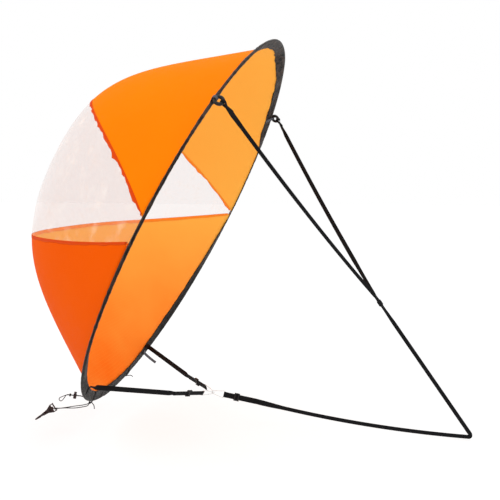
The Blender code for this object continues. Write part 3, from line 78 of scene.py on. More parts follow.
side_way = LOOK.cross(Vector((0.0, 0.0, 1.0))).normalized()
up_way = side_way.cross(LOOK)
lens = bpy.data.cameras.new("view")
lens.lens, lens.sensor_width = LENS_MM, SENSOR_MM
lens.clip_start, lens.clip_end = CLIP_NEAR, CLIP_FAR
camera = bpy.data.objects.new("view", lens)
bpy.context.collection.objects.link(camera)
camera.matrix_world = Matrix((
    (side_way.x, up_way.x, -LOOK.x, EYE.x), (side_way.y, up_way.y, -LOOK.y, EYE.y),
    (side_way.z, up_way.z, -LOOK.z, EYE.z), (0.0, 0.0, 0.0, 1.0)))
bpy.context.scene.camera = camera
print("camera at", [round(x, 3) for x in EYE])

# %% [markdown]
# ## Floor and studio light
#
# The photograph has a plain white ground. A wide pale floor under an even white sky gives the same from every
# side, where a backdrop would only do so from the front. Two large soft lamps shape the cloth. The picture is
# shown as it is lit, without a film curve, so a colour put into a finish comes out close to the same colour.

# %% Lay the floor
FLOOR_SIZE = 24.0
FLOOR_DROP = 0.0074

ground = bmesh.new()
bmesh.ops.create_grid(ground, x_segments=8, y_segments=8, size=FLOOR_SIZE / 2)
bmesh.ops.translate(ground, verts=ground.verts, vec=(0.0, 0.0, cad_box[0][2] - FLOOR_DROP))
floor_mesh = bpy.data.meshes.new("floor")
ground.to_mesh(floor_mesh)
floor = bpy.data.objects.new("floor", floor_mesh)
bpy.context.collection.objects.link(floor)
print("floor at", round(cad_box[0][2] - FLOOR_DROP, 4))

# %% Light it from the sky and two lamps
sky = bpy.data.worlds.new("studio")
bpy.context.scene.world = sky
sky.use_nodes = True
sky.node_tree.nodes["Background"].inputs["Color"].default_value = (1.0, 1.0, 1.0, 1.0)
sky.node_tree.nodes["Background"].inputs["Strength"].default_value = 1.0
bpy.context.scene.view_settings.view_transform = "Standard"
bpy.context.scene.view_settings.look = "None"


def lamp(name, place, aim, size, power):
    """A large square lamp turned towards a point."""
    data = bpy.data.lights.new(name, "AREA")
    data.size, data.energy = size, power
    made = bpy.data.objects.new(name, data)
    made.location = place
    made.rotation_euler = (Vector(aim) - Vector(place)).to_track_quat("-Z", "Y").to_euler()
    bpy.context.collection.objects.link(made)


lamp("key_lamp", place=(-1.6, -2.2, 2.8), aim=(0.3, 0.0, 0.4), size=1.8, power=26.0)
lamp("top_lamp", place=(0.6, 0.4, 3.2), aim=(0.3, 0.0, 0.3), size=2.6, power=24.0)
print("lamps", len(bpy.data.lights))

# %% [markdown]
# ## A small language for finishes
#
# A finish is a network of nodes. Written node by node it is long and hard to follow, so `Value` wraps one
# output and turns plus, minus, times and the like into Math nodes. `Finish` holds one material, and its
# `node` method makes any other kind of node from its settings and the values or links of its sockets.

# %% Values that flow through a finish
class Value:
    """A number that varies over a surface. Maths on it adds Math nodes."""

    def __init__(self, finish, socket):
        self.finish, self.socket = finish, socket

    def maths(self, operation, first, second):
        return self.finish.node("ShaderNodeMath", {"operation": operation}, {0: first, 1: second})

    def __add__(self, other):
        return self.maths("ADD", self, other)

    __radd__ = __add__

    def __sub__(self, other):
        return self.maths("SUBTRACT", self, other)

    def __rsub__(self, other):
        return self.maths("SUBTRACT", other, self)

    def __mul__(self, other):
        return self.maths("MULTIPLY", self, other)

    __rmul__ = __mul__

    def __pow__(self, other):
        return self.maths("POWER", self, other)

    def above(self, other):
        return self.maths("GREATER_THAN", self, other)

    def below(self, other):
        return self.maths("LESS_THAN", self, other)

    def largest(self, other):
        return self.maths("MAXIMUM", self, other)

    def wave(self, pitch, phase=0.0):
        """A smooth wave between 0 and 1 that repeats each pitch."""
        return self.maths("SINE", self * (math.tau / pitch) + phase, 0.0) * 0.5 + 0.5

    def size(self):
        return self.maths("ABSOLUTE", self, 0.0)


# %% A finish
class Finish:
    """One material, built round a Principled shader."""

    def __init__(self, name, **sockets):
        self.material = bpy.data.materials.new(name)
        self.material.use_nodes = True
        self.tree = self.material.node_tree
        self.shader = self.tree.nodes["Principled BSDF"]
        self.set(**sockets)

    def feed(self, socket, value):
        if isinstance(value, Value):
            self.tree.links.new(value.socket, socket)
        elif isinstance(value, tuple) and len(value) == 3 and socket.type == "RGBA":
            socket.default_value = (*value, 1.0)
        else:
            socket.default_value = value

    def node(self, kind, settings=None, sockets=None, out=0):
        made = self.tree.nodes.new(kind)
        for name, value in (settings or {}).items():
            setattr(made, name, value)
        for name, value in (sockets or {}).items():
            self.feed(made.inputs[name], value)
        return Value(self, made.outputs[out])

    def set(self, **sockets):
        for name, value in sockets.items():
            self.feed(self.shader.inputs[name.replace("_", " ")], value)

    def place(self):
        return self.node("ShaderNodeTexCoord", out="Object")

    def cloth_way(self):
        """How far round or across, and how far along, a piece the point lies, in metres."""
        map_node = self.node("ShaderNodeUVMap", {"uv_map": "metres"})
        across = self.node("ShaderNodeSeparateXYZ", sockets={0: map_node})
        along = Value(self, across.socket.node.outputs[1])
        return across, along, map_node

    def speckle(self, where, scale, detail=2.0, rough=0.5):
        return self.node("ShaderNodeTexNoise", sockets={"Vector": where, "Scale": scale, "Detail": detail,
                                                        "Roughness": rough})

    def blend(self, share, first, second):
        """Between two colours."""
        return self.node("ShaderNodeMix", {"data_type": "RGBA"}, {0: share, 6: first, 7: second}, out=2)

    def span(self, value, low, high, new_low=0.0, new_high=1.0):
        return self.node("ShaderNodeMapRange", {"clamp": True},
                         {0: value, 1: low, 2: high, 3: new_low, 4: new_high})

    def bump(self, height, depth, strength):
        sockets = {"Height": height, "Distance": depth, "Strength": strength}
        self.set(Normal=self.node("ShaderNodeBump", sockets=sockets))


# %% [markdown]
# ## Finishes
#
# Each finish copies what the real stuff shows close up: the fine weave and ripstop squares of sail cloth, the
# cross ribs of webbing, the crossed strands of cord, the grain of moulded plastic. They could be pictures
# wrapped round the pieces, but waves and noise stay sharp at any distance and need no files. The patterns run
# on each piece's own map in metres, so a rib is the same size on every strap.

# %% Sail cloth, one finish for each face
WEAVE_PITCH = 0.0011
RIPSTOP_PITCH = 0.006
RIPSTOP_SHARPNESS = 24.0


def paint(red, green, blue):
    """A screen colour, 0 to 255, as the light values that a finish takes."""
    shares = (red / 255, green / 255, blue / 255)
    return tuple(((c + 0.055) / 1.055) ** 2.4 if c > 0.04045 else c / 12.92 for c in shares)


def sail_cloth(name, colour, pale, roughness, foot=None):
    """Light woven nylon: a fine weave, faint ripstop squares and a slow change of tone."""
    made = Finish(name)
    across, along, _ = made.cloth_way()
    where = made.place()
    # With a foot colour, the face gets darker towards the bottom by height: painted shade.
    if foot:
        height = made.node("ShaderNodeSeparateXYZ", sockets={0: where}, out=2)
        colour = made.blend(made.span(height, 0.06, 0.44), foot, colour)
    weave = across.wave(WEAVE_PITCH) * along.wave(WEAVE_PITCH, 1.2)
    threads = [way.wave(RIPSTOP_PITCH) ** RIPSTOP_SHARPNESS for way in (across, along)]
    rip = threads[0].largest(threads[1])
    tone = made.span(made.speckle(where, 5.0, 3.0), 0.3, 0.7)
    rubbed = made.span(made.speckle(where, 60.0), 0.2, 0.8, roughness - 0.06, roughness + 0.08)
    made.set(Base_Color=made.blend(tone * 0.25 + rip * 0.12, colour, pale), Roughness=rubbed,
             Specular_IOR_Level=0.012)
    made.bump(weave * 0.5 + rip * 0.6 + made.speckle(where, 240.0) * 0.5, 0.00025, 0.5)
    return made.material


outer_bright = sail_cloth("bright_orange_outside", paint(247, 119, 2), paint(252, 130, 5), 0.62)
outer_deep = sail_cloth("deep_orange_outside", paint(226, 82, 1), paint(233, 93, 3), 0.6)
# The inside's paler orange is painted light coming through the cloth, and its foot colour is painted shade.
inner_cloth = sail_cloth("orange_inside", (1.0, 0.45, 0.064), (1.0, 0.50, 0.084), 0.62, (1.0, 0.15, 0.004))
print("cloth finishes", outer_bright.name, outer_deep.name, inner_cloth.name)

# %% Clear film
film = Finish("clear_window_film")
film_place = film.place()
# Pale, less clear patches in the film are painted glints.
glint = film.span(film.speckle(film_place, 26.0, 5.0, 0.6), 0.52, 0.7)
haze = film.span(film.speckle(film_place, 9.0, 4.0), 0.3, 0.7, 0.12, 0.3)
film.set(Base_Color=film.blend(glint, (0.58, 0.34, 0.27), (0.90, 0.72, 0.62)), Alpha=glint * 0.06 + 0.10,
         Roughness=haze, Specular_IOR_Level=0.35)
film.bump(film.speckle(film_place, 14.0, 3.0), 0.002, 0.35)
print("film finish", film.material.name)

# %% Seam tape
TAPE_WEAVE = 0.0012
TAPE_MIDDLE = 0.0045
STITCH_OUT = 0.003
STITCH_PITCH = 0.0034
STITCH_HALF = 0.0004


def tape_finish(name, colour, thread):
    """Folded cloth tape with a row of stitches near each edge."""
    made = Finish(name)
    along, across, _ = made.cloth_way()
    rows = ((across - TAPE_MIDDLE).size() - STITCH_OUT).size().below(STITCH_HALF)
    stitch = rows * along.wave(STITCH_PITCH).above(0.3)
    made.set(Base_Color=made.blend(stitch, colour, thread), Roughness=0.66, Specular_IOR_Level=0.04)
    made.bump(stitch * 0.6 + along.wave(TAPE_WEAVE) * 0.3, 0.0004, 0.7)
    return made.material


outer_tape = tape_finish("seam_tape_outside", paint(206, 64, 10), paint(232, 100, 30))
inner_tape = tape_finish("seam_tape_inside", (1.0, 0.25, 0.022), (1.0, 0.33, 0.04))
print("tape finishes", outer_tape.name, inner_tape.name)

# %% Sleeve cloth
SLEEVE_WEAVE = 0.0008
STREAKS = (150.0, 30.0, 1.0)
sleeve_cloth = Finish("sleeve_cloth")
sleeve_across, sleeve_along, sleeve_map = sleeve_cloth.cloth_way()
sleeve_place = sleeve_cloth.place()
drawn_out = sleeve_cloth.node("ShaderNodeVectorMath", {"operation": "MULTIPLY"}, {0: sleeve_map, 1: STREAKS})
streak = sleeve_cloth.speckle(drawn_out, 1.0, 5.0, 0.6)
wrinkle = sleeve_cloth.speckle(sleeve_place, 75.0, 4.0, 0.6)
# Painted highlights: streaks and wrinkles are lighter in colour, and more so higher up the hoop, where the
# sleeve is painted as more lit.
sleeve_height = sleeve_cloth.node("ShaderNodeSeparateXYZ", sockets={0: sleeve_place}, out=2)
lit = sleeve_cloth.span(sleeve_height, 0.05, 0.85, 0.25, 1.0)
shine = sleeve_cloth.span(streak * 0.55 + wrinkle * 0.45, 0.43, 0.6) * lit
sleeve_cloth.set(Base_Color=sleeve_cloth.blend(shine, paint(7, 5, 5), paint(74, 62, 56)),
                 Roughness=sleeve_cloth.span(wrinkle, 0.3, 0.7, 0.34, 0.58), Specular_IOR_Level=0.10)
sleeve_weave = sleeve_across.wave(SLEEVE_WEAVE) * 0.1 + sleeve_along.wave(SLEEVE_WEAVE) * 0.1
sleeve_cloth.bump(sleeve_weave + streak * 0.6 + wrinkle * 0.7, 0.0016, 0.8)
print("sleeve finish", sleeve_cloth.material.name)

# %% Webbing
RIB_PITCH = 0.0017
YARN_PITCH = 0.0013


def webbing_finish(name, dark, light):
    """Flat woven strap: cross ribs, finer lengthwise yarns and a slight fuzz."""
    made = Finish(name)
    across, along, _ = made.cloth_way()
    where = made.place()
    rib = along.wave(RIB_PITCH)
    yarn = (across + rib * 0.0002).wave(YARN_PITCH)
    fuzz = made.speckle(where, 900.0)
    worn = made.span(made.speckle(where, 22.0, 3.0), 0.35, 0.75)
    made.set(Base_Color=made.blend(rib * 0.22 + fuzz * 0.22 + worn * 0.36, dark, light),
             Roughness=made.span(fuzz, 0.2, 0.8, 0.58, 0.8), Specular_IOR_Level=0.13)
    made.bump(rib * 0.6 + yarn * 0.35 + fuzz * 0.2, 0.0004, 0.6)
    return made.material


black_webbing = webbing_finish("black_webbing_weave", paint(4, 4, 5), paint(24, 24, 27))
grey_webbing = webbing_finish("grey_webbing_weave", paint(74, 74, 80), paint(112, 112, 118))
print("webbing finishes", black_webbing.name, grey_webbing.name)

# %% Braided cord
STRAND_PITCH = 0.0017
STRAND_SLANT = 0.8


def braid_finish(name, dark, light):
    """Braided cord: strands that cross each other at a slant."""
    made = Finish(name)
    across, along, _ = made.cloth_way()
    left = (across + along * STRAND_SLANT).wave(STRAND_PITCH)
    right = (across - along * STRAND_SLANT).wave(STRAND_PITCH)
    plait = left.largest(right)
    made.set(Base_Color=made.blend(plait, dark, light), Roughness=0.68, Specular_IOR_Level=0.2)
    made.bump(plait, 0.0004, 0.9)
    return made.material


black_cord = braid_finish("black_braided_cord", paint(6, 4, 4), paint(28, 23, 23))
print("cord finish", black_cord.name)


# %% Plastic, wire, steel and floor
def plastic_finish(name, dark, light, roughness):
    """Moulded plastic: a fine grain, with cloudy patches that are rubbed a little smoother."""
    made = Finish(name)
    where = made.place()
    grain = made.speckle(where, 1400.0, 3.0)
    cloud = made.speckle(where, 45.0, 3.0)
    rubbed = made.span(cloud, 0.25, 0.75, roughness - 0.08, roughness + 0.08)
    made.set(Base_Color=made.blend(cloud, dark, light), Roughness=rubbed, Specular_IOR_Level=0.3)
    made.bump(grain, 0.00008, 0.5)
    return made.material


black_plastic = plastic_finish("black_moulded_plastic", paint(10, 9, 10), paint(24, 22, 23), 0.42)
brown_plastic = plastic_finish("dark_brown_plastic", paint(22, 9, 8), paint(46, 20, 18), 0.36)

wire = Finish("white_coated_wire", Metallic=0.0)
wire_mark = wire.span(wire.speckle(wire.place(), 160.0, 4.0), 0.58, 0.72)
wire.set(Base_Color=wire.blend(wire_mark, paint(226, 230, 231), paint(176, 180, 184)), Roughness=0.28)
wire.bump(wire_mark, 0.0001, 0.4)

steel = Finish("bright_pin_steel", Metallic=1.0)
steel.set(Base_Color=paint(186, 186, 190),
          Roughness=steel.span(steel.speckle(steel.place(), 700.0), 0.3, 0.7, 0.22, 0.4))

# The floor gives off some light of its own, so it comes out white under lamps that are soft on the cloth.
floor_paint = Finish("pale_floor", Base_Color=(0.22, 0.23, 0.25), Roughness=0.9, Specular_IOR_Level=0.1,
                     Emission_Color=(1.0, 0.99, 0.965), Emission_Strength=0.79)
floor_mesh.materials.append(floor_paint.material)
print("finishes", len(bpy.data.materials))

# %% [markdown]
# ## The hoop's measures
#
# The hoop is 1.078 m across and leans 27 degrees towards the bow. A place round it is an angle from the top,
# going first down the near side. The sleeve is a flat band 30 mm wide. It could lie in the hoop's plane all
# the way round, but the cloth pulls its inner edge forward, by a different amount at each place, so its twist
# is a short table that is read smoothly.

# %% Measures and directions of the hoop
HOOP_RADIUS = 0.539
HOOP_BEND = 0.0026
ROD_FROM_EDGE = 0.0055
SLEEVE_WIDTH = 0.030
TWIST_LIMIT_DEG = 45.0
SLEEVE_TWIST_SHARES = (
    (0, 0.25), (15, 0.45), (30, 0.65), (42, 0.35), (60, 0.35), (75, 0.4), (95, 0.5), (120, 0.4), (135, 0.16),
    (157, 0.05), (170, 0.05), (180, 0.12), (190, 0.05), (200, 0.05), (215, 0.35), (225, 0.5), (240, 0.38),
    (255, 0.04), (270, -0.3), (296, -0.3), (304, 0.35), (318, 0.35), (330, 0.25), (345, 1.0), (360, 0.25))
LEAN = math.radians(27.0)
UP = Vector((math.sin(LEAN), 0.0, math.cos(LEAN)))
BOW = Vector((-math.cos(LEAN), 0.0, math.sin(LEAN)))
AFT = -BOW
NEAR = Vector((0.0, -1.0, 0.0))
Z_UP = Vector((0.0, 0.0, 1.0))
ROD_CIRCLE = HOOP_RADIUS - ROD_FROM_EDGE
TIE_DEG = 163.5
TIE_OUT = 0.0046
TIE_CIRCLE = HOOP_RADIUS + TIE_OUT
TIE_Y = TIE_CIRCLE * math.sin(math.radians(TIE_DEG))
CENTRE = -TIE_CIRCLE * math.cos(math.radians(TIE_DEG)) * UP
INNER_EDGE = SLEEVE_WIDTH - ROD_FROM_EDGE
print("hoop centre", [round(x, 4) for x in CENTRE])


# %% Places round the rim
def twist_at(deg):
    """How far the sleeve is turned out of the hoop's plane."""
    deg = deg % 360
    for (x0, y0), (x1, y1) in zip(SLEEVE_TWIST_SHARES, SLEEVE_TWIST_SHARES[1:]):
        if x0 <= deg <= x1:
            t = (deg - x0) / (x1 - x0)
            return math.radians(TWIST_LIMIT_DEG) * (y0 + (y1 - y0) * t * t * (3 - 2 * t))


def outward(deg):
    return math.cos(math.radians(deg)) * UP + math.sin(math.radians(deg)) * NEAR


def along_rim(deg):
    return -math.sin(math.radians(deg)) * UP + math.cos(math.radians(deg)) * NEAR


def rim_bend(deg):
    """The hoop isn't quite flat: its top and foot stand a little towards the bow."""
    return HOOP_BEND * (math.cos(2 * math.radians(deg)) - math.cos(2 * math.radians(TIE_DEG)))


def basis(place, x_axis, y_axis):
    """A frame with the given x and y directions, and z square to both."""
    z_axis = x_axis.cross(y_axis).normalized()
    columns = (x_axis.normalized(), z_axis.cross(x_axis).normalized(), z_axis, place)
    return Matrix([[column[row] for column in columns] for row in range(3)] + [[0, 0, 0, 1]])


def rim_frame(deg):
    """At the rod: x across the sleeve towards the cloth, y out of its aft face."""
    twist = twist_at(deg)
    inward = -math.cos(twist) * outward(deg) + math.sin(twist) * BOW
    rod = CENTRE + ROD_CIRCLE * outward(deg) + rim_bend(deg) * BOW
    return basis(rod, inward, along_rim(deg).cross(inward))


print("top of the rod", [round(x, 4) for x in rim_frame(0.0).translation])

# %% [markdown]
# ## One helper for everything long: a rolled grid
#
# Sleeves, straps and cords are all a section carried along a line. A curve with a bevel does that for a round
# cord, but it can't turn a flat strap just where it has to turn, or pucker a sleeve. So a plain grid is
# rolled up: its columns go round the section and its rows go along the line, the two edges that meet are
# merged, and the ends are filled. The grid operator also makes the map, which is then scaled to metres for
# the weaves.

# %% Make a shape an object of the part
def put(name, shape, finish, body, crease_deg=50.0):
    """Makes the object, smooth but for its creases, and lets it ride on its body."""
    mesh = bpy.data.meshes.new(name)
    shape.to_mesh(mesh)
    shape.free()
    mesh.shade_smooth()
    mesh.set_sharp_from_angle(angle=math.radians(crease_deg))
    mesh.materials.append(finish)
    piece = bpy.data.objects.new(name, mesh)
    bpy.context.collection.objects.link(piece)
    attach(piece, body)
    print(name, "faces", len(mesh.polygons))
    return piece


# %% Roll a grid along frames
def map_in_metres(shape, width, length):
    layer = shape.loops.layers.uv["metres"]
    for face in shape.faces:
        for corner in face.loops:
            corner[layer].uv = (corner[layer].uv.x * width, corner[layer].uv.y * length)


def rolled(outlines, frames, ring=False):
    """A closed skin with one outline at each frame. A ring's last frame leads back to its first."""
    columns, rows = len(outlines[0]), len(frames) - (0 if ring else 1)
    shape = bmesh.new()
    shape.loops.layers.uv.new("metres")
    bmesh.ops.create_grid(shape, x_segments=columns, y_segments=rows, size=1.0, calc_uvs=True)
    for vert in shape.verts:
        i = round((vert.co.x + 1) / 2 * columns) % columns
        j = round((vert.co.y + 1) / 2 * rows) % len(frames)
        vert.co = frames[j] @ Vector((*outlines[j][i], 0.0))
    first = [Vector(p) for p in outlines[0]]
    round_length = sum((a - b).length for a, b in zip(first, first[1:] + first[:1]))
    run = sum((a.translation - b.translation).length for a, b in zip(frames, frames[1:]))
    map_in_metres(shape, round_length, run)
    bmesh.ops.remove_doubles(shape, verts=shape.verts, dist=1e-7)
    if not ring:
        rims = [edge for edge in shape.edges if edge.is_boundary]
        bmesh.ops.holes_fill(shape, edges=rims, sides=0)
    bmesh.ops.recalc_face_normals(shape, faces=shape.faces)
    return shape


def circle(radius, sides):
    turns = [math.tau * i / sides for i in range(sides)]
    return [(radius * math.cos(a), radius * math.sin(a)) for a in turns]


# %% [markdown]
# ## Rim sleeve
#
# The sleeve is a folded strip: round where the rod lies in its pocket and flat at the hem where the cloth is
# sewn in. A squashed ring would have the outline but look like rubber. Strong cloth on a tight curve puckers,
# so each of its 900 sections is a little thicker or thinner than the next, with small folds across the band.

# %% Sleeve sections
SLEEVE_STEPS = 900
SLEEVE_SIDES = 28
SLEEVE_HALF = 0.0037
HEM_HALF = 0.0011
HEM_FALL = 1.8
HEM_ROUND_FROM = 0.97
HEM_ROUND_SHARE = 0.03
PUCKER_WAVES = 38
HEM_WAVES = 17


def sleeve_section(grow=0.0, front=INNER_EDGE, pucker=lambda share: 1.0):
    """Half-thickness from the pocket's nose to the hem, aft face first."""
    points = []
    for i in range(SLEEVE_SIDES):
        a = math.tau * i / SLEEVE_SIDES
        share = (1 - math.cos(a)) / 2
        x = -ROD_FROM_EDGE - grow + (front + ROD_FROM_EDGE + grow) * share
        if x < 0:
            half = SLEEVE_HALF * math.sqrt(max(0.0, 1 - (x / (ROD_FROM_EDGE + grow)) ** 2))
        else:
            half = HEM_HALF + (SLEEVE_HALF - HEM_HALF) * max(0.0, 1 - x / front) ** HEM_FALL
        if share > HEM_ROUND_FROM:
            half *= math.sqrt(max(0.0, 1 - ((share - HEM_ROUND_FROM) / HEM_ROUND_SHARE) ** 2))
        half = half * pucker(share) + (grow if half > 1e-6 else 0.0)
        points.append((x, half if a < math.pi else -half))
    return points


def noise_place(deg, waves, layer):
    """A place on a circle in the noise, so that the last section leads back to the first."""
    return Vector((math.cos(math.radians(deg)) * waves, math.sin(math.radians(deg)) * waves, layer))


def puckers(deg):
    """Small folds across the sleeve, deeper towards its hem."""
    place = noise_place(deg, PUCKER_WAVES, 0.0)
    fold = noise.noise(place) * 0.55 + noise.noise(place * 2.7) * 0.35
    return lambda share: 1.0 + fold * math.sin(math.pi * share) * (0.7 + 1.1 * share)


def hem_edge(deg):
    """The hem wavers a little, as a sewn edge on a curve does."""
    place = noise_place(deg, HEM_WAVES, 3.0)
    return INNER_EDGE + 0.0022 * noise.noise(place) + 0.0010 * noise.noise(place * 2.9)


# %% Make the sleeve and the wrap over its ends
angles = [360.0 * i / SLEEVE_STEPS for i in range(SLEEVE_STEPS)]
sleeve_outlines = [sleeve_section(front=hem_edge(deg), pucker=puckers(deg)) for deg in angles]
sleeve = put("sleeve_band", rolled(sleeve_outlines, [rim_frame(deg) for deg in angles], ring=True),
             sleeve_cloth.material, "sail")
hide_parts("rim_sleeve")

WRAP_HALF_LENGTH = 0.030
WRAP_OVER = 0.0007
WRAP_BACK = 0.0012
wrap_half_deg = math.degrees(WRAP_HALF_LENGTH / ROD_CIRCLE)
wrap_angles = [180 + wrap_half_deg * (i / 20 - 1) for i in range(41)]
wrap_outlines = [sleeve_section(WRAP_OVER, INNER_EDGE - WRAP_BACK)] * len(wrap_angles)
sleeve_wrap = put("sleeve_end_wrap", rolled(wrap_outlines, [rim_frame(deg) for deg in wrap_angles]),
                  sleeve_cloth.material, "sail")
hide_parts("sleeve_wrap")

# %% [markdown]
# ## The cloth dish
#
# The wind side is one smooth hollow 0.40 m deep, sewn from an upper panel, a clear window and a lower panel.
# A cloth simulation could blow it up, but its outline in the photograph already gives its shape, as a slope
# at the middle and a shoulder near the rim. Each panel is a fine grid that is laid flat between its four
# edges and then lifted onto the dish, so the three meet exactly. The cloth gets its thickness from a Solidify
# modifier, which also gives the inner face the paler orange that shows where light comes through.

# %% Shape of the dish
DISH_DEPTH = 0.402
SLOPE_SHARES = (1.87, 1.714, 2.118)
SHOULDER_SHARES = (4.1, 3.377, 3.0)
CLOTH_LAP = 0.003
CLOTH_START = INNER_EDGE - CLOTH_LAP
RIM_HOLD = 6


def edge_radius(deg):
    return ROD_CIRCLE - CLOTH_START * math.cos(twist_at(deg))


def edge_flat(deg):
    return edge_radius(deg) * Vector((math.cos(math.radians(deg)), math.sin(math.radians(deg))))


def dish_share(reach, deg):
    """Height at a share of the way out from the middle, as a share of the depth."""
    c = math.cos(math.radians(deg))
    top, foot = max(c, 0.0) ** 2, max(-c, 0.0) ** 2
    weights = (top, 1.0 - top - foot, foot)
    slope = sum(s * w for s, w in zip(SLOPE_SHARES, weights))
    power = sum(s * w for s, w in zip(SHOULDER_SHARES, weights))

    def rounded(level):
        return level / (1 + level ** power) ** (1 / power)
    return rounded(slope * (1 - reach)) / rounded(slope)


def dish_place(flat, lift=0.0):
    """The point of the dish over a place (up, near) in the hoop's plane."""
    deg = math.degrees(math.atan2(flat[1], flat[0]))
    reach = min(1.0, math.hypot(*flat) / edge_radius(deg))
    rim = CLOTH_START * math.sin(twist_at(deg)) + rim_bend(deg)
    height = rim * reach ** RIM_HOLD + DISH_DEPTH * dish_share(reach, deg) + lift
    return CENTRE + flat[0] * UP + flat[1] * NEAR + height * BOW


# %% Seams and edges
COLUMNS = 120
ROWS = 44
UPPER_SEAM = (0.187, 2.75, 84.0, -89.0)
LOWER_SEAM = (-0.213, 2.2, 90.8, -90.0)
UPPER_CORNER_DEG = 60.0
LOWER_CORNER_DEG = 130.0


def seam(rise, power, near_deg, far_deg):
    """A seam's places from its near end on the rim to its far end."""
    places = []
    for i in range(COLUMNS + 1):
        v = 1 - 2 * i / COLUMNS
        end = edge_flat(near_deg if v > 0 else far_deg)
        bow_share = 1 - abs(v) ** power
        places.append(Vector((rise * bow_share + end[0] * (1 - bow_share), abs(v) * end[1])))
    return places


def rim_run(start, end, count):
    return [edge_flat(start + (end - start) * i / count) for i in range(count + 1)]


# %% A panel between four edges
def line_length(places):
    return sum((a - b).length for a, b in zip(places, places[1:]))


CLOTH_THICKNESS = 0.0005


def panel(name, foot, top, left, right, finishes, lift=0.0):
    """A sheet of cloth between four edges, with its area and its width over the dish."""
    rows, columns = len(left) - 1, len(foot) - 1
    shape = bmesh.new()
    shape.loops.layers.uv.new("metres")
    bmesh.ops.create_grid(shape, x_segments=columns, y_segments=rows, size=1.0, calc_uvs=True)
    for vert in shape.verts:
        i, j = round((vert.co.x + 1) / 2 * columns), round((vert.co.y + 1) / 2 * rows)
        s, t = i / columns, j / rows
        ruled = foot[i].lerp(top[i], t) + left[j].lerp(right[j], s)
        corners = foot[0].lerp(foot[-1], s).lerp(top[0].lerp(top[-1], s), t)
        vert.co = dish_place(ruled - corners, lift)
    bmesh.ops.recalc_face_normals(shape, faces=shape.faces)
    middle = min(shape.faces, key=lambda face: (face.calc_center_median() - CENTRE - DISH_DEPTH * BOW).length)
    if middle.normal.dot(BOW) < 0:
        bmesh.ops.reverse_faces(shape, faces=shape.faces)
    area = sum(face.calc_area() for face in shape.faces)
    width = max(line_length([dish_place(where) for where in row]) for row in (foot, top))
    map_in_metres(shape, width, area / width)
    piece = put(name, shape, finishes[0], "sail", 60.0)
    piece.data.materials.append(finishes[1])
    shell = piece.modifiers.new("thickness", "SOLIDIFY")
    shell.thickness, shell.offset, shell.material_offset = CLOTH_THICKNESS, -1.0, 1
    print(name, "area", round(area, 4), "width", round(width, 3))
    return piece, area, width


# %% Make the three panels
upper_line, lower_line = seam(*UPPER_SEAM), seam(*LOWER_SEAM)
upper, upper_area, upper_width = panel(
    "upper_cloth", upper_line, rim_run(UPPER_CORNER_DEG, -UPPER_CORNER_DEG, COLUMNS),
    rim_run(UPPER_SEAM[2], UPPER_CORNER_DEG, ROWS), rim_run(UPPER_SEAM[3], -UPPER_CORNER_DEG, ROWS),
    (outer_bright, inner_cloth))
window, window_area, window_width = panel(
    "window_sheet", lower_line, upper_line, rim_run(LOWER_SEAM[2], UPPER_SEAM[2], ROWS),
    rim_run(LOWER_SEAM[3], UPPER_SEAM[3], ROWS), (film.material, film.material))
lower, lower_area, lower_width = panel(
    "lower_cloth", rim_run(LOWER_CORNER_DEG, 360 - LOWER_CORNER_DEG, COLUMNS), lower_line,
    rim_run(LOWER_CORNER_DEG, LOWER_SEAM[2], ROWS), rim_run(-LOWER_CORNER_DEG, LOWER_SEAM[3], ROWS),
    (outer_deep, inner_cloth))
for piece, node in ((upper, "upper_panel"), (window, "window_film"), (lower, "lower_panel")):
    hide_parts(node)

# %% [markdown]
# ## Seam tapes
#
# A folded tape covers each seam on both faces of the dish. It could be a stripe in the cloth's finish, but a
# real tape stands proud and its sewn edge is ragged, so it is a narrow panel of its own just above the cloth.
# One edge of it sways slowly and frays finely with two scales of noise.

# %% Seam tapes
TAPE_LIFT = 0.0007
TAPE_DROP = -0.0013
TAPE_SWAY = 0.0060
TAPE_FRAY = 0.0070
tapes = {"upper": [], "lower": []}
for k, (name, line, rough, outer_width, inner_width) in enumerate((
        ("upper", upper_line, 0.85, 0.0066, 0.0045), ("lower", lower_line, 0.35, 0.0075, 0.0080))):
    middle = [line[0].lerp(line[1], 0.6)] + line[1:-1] + [line[-1].lerp(line[-2], 0.6)]
    ragged = [rough * (TAPE_SWAY * noise.noise(Vector((i * 0.31, 0.0, k * 7.0)))
                       + TAPE_FRAY * noise.noise(Vector((i * 1.37, 2.0, k * 7.0))))
              for i in range(len(middle))]
    for face_name, lift, width, finish in (("outside", TAPE_LIFT, outer_width, outer_tape),
                                           ("inside", TAPE_DROP, inner_width, inner_tape)):
        rows = [[place + Vector((share * width + uneven * (0.5 - share), 0.0))
                 for place, uneven in zip(middle, ragged)] for share in (-0.5, -0.25, 0.0, 0.25, 0.5)]
        made, _, _ = panel(name + "_tape_" + face_name, rows[0], rows[-1], [row[0] for row in rows],
                           [row[-1] for row in rows], (finish, inner_tape), lift)
        tapes[name].append(made)
    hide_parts(name + "_seam_tape")

# %% [markdown]
# ## Straps
#
# The bridle, the sheet and the two lower straps are 15 mm webbing. Webbing keeps its width and turns about
# its own run, which a bevelled curve doesn't do well. So a strap is a rounded flat section carried through
# stops, each with a place, the way its width points and how much of its width and thickness it shows. At each
# end it goes round a bar and is sewn back on itself. A long run that is worked a lot gathers: it turns side
# on, and gets narrower and thicker.

# %% A strap from its stops
WEBBING_WIDTH = 0.015
WEBBING_THICKNESS = 0.0010
CLEAR = 0.0003
LAYER = WEBBING_THICKNESS + CLEAR
LEVEL = LAYER / 2


def rounded_flat(width, thickness, share):
    """A strap's cut end, with rounded edges, at a share of its full width."""
    edge, half = (width * share - thickness) / 2, thickness / 2
    turn = [math.pi * (i / 4 - 0.5) for i in range(5)]
    right = [(edge + half * math.cos(a), half * math.sin(a)) for a in turn]
    return [(0.0, -half)] + right + [(0.0, half)] + [(-x, -y) for x, y in right]


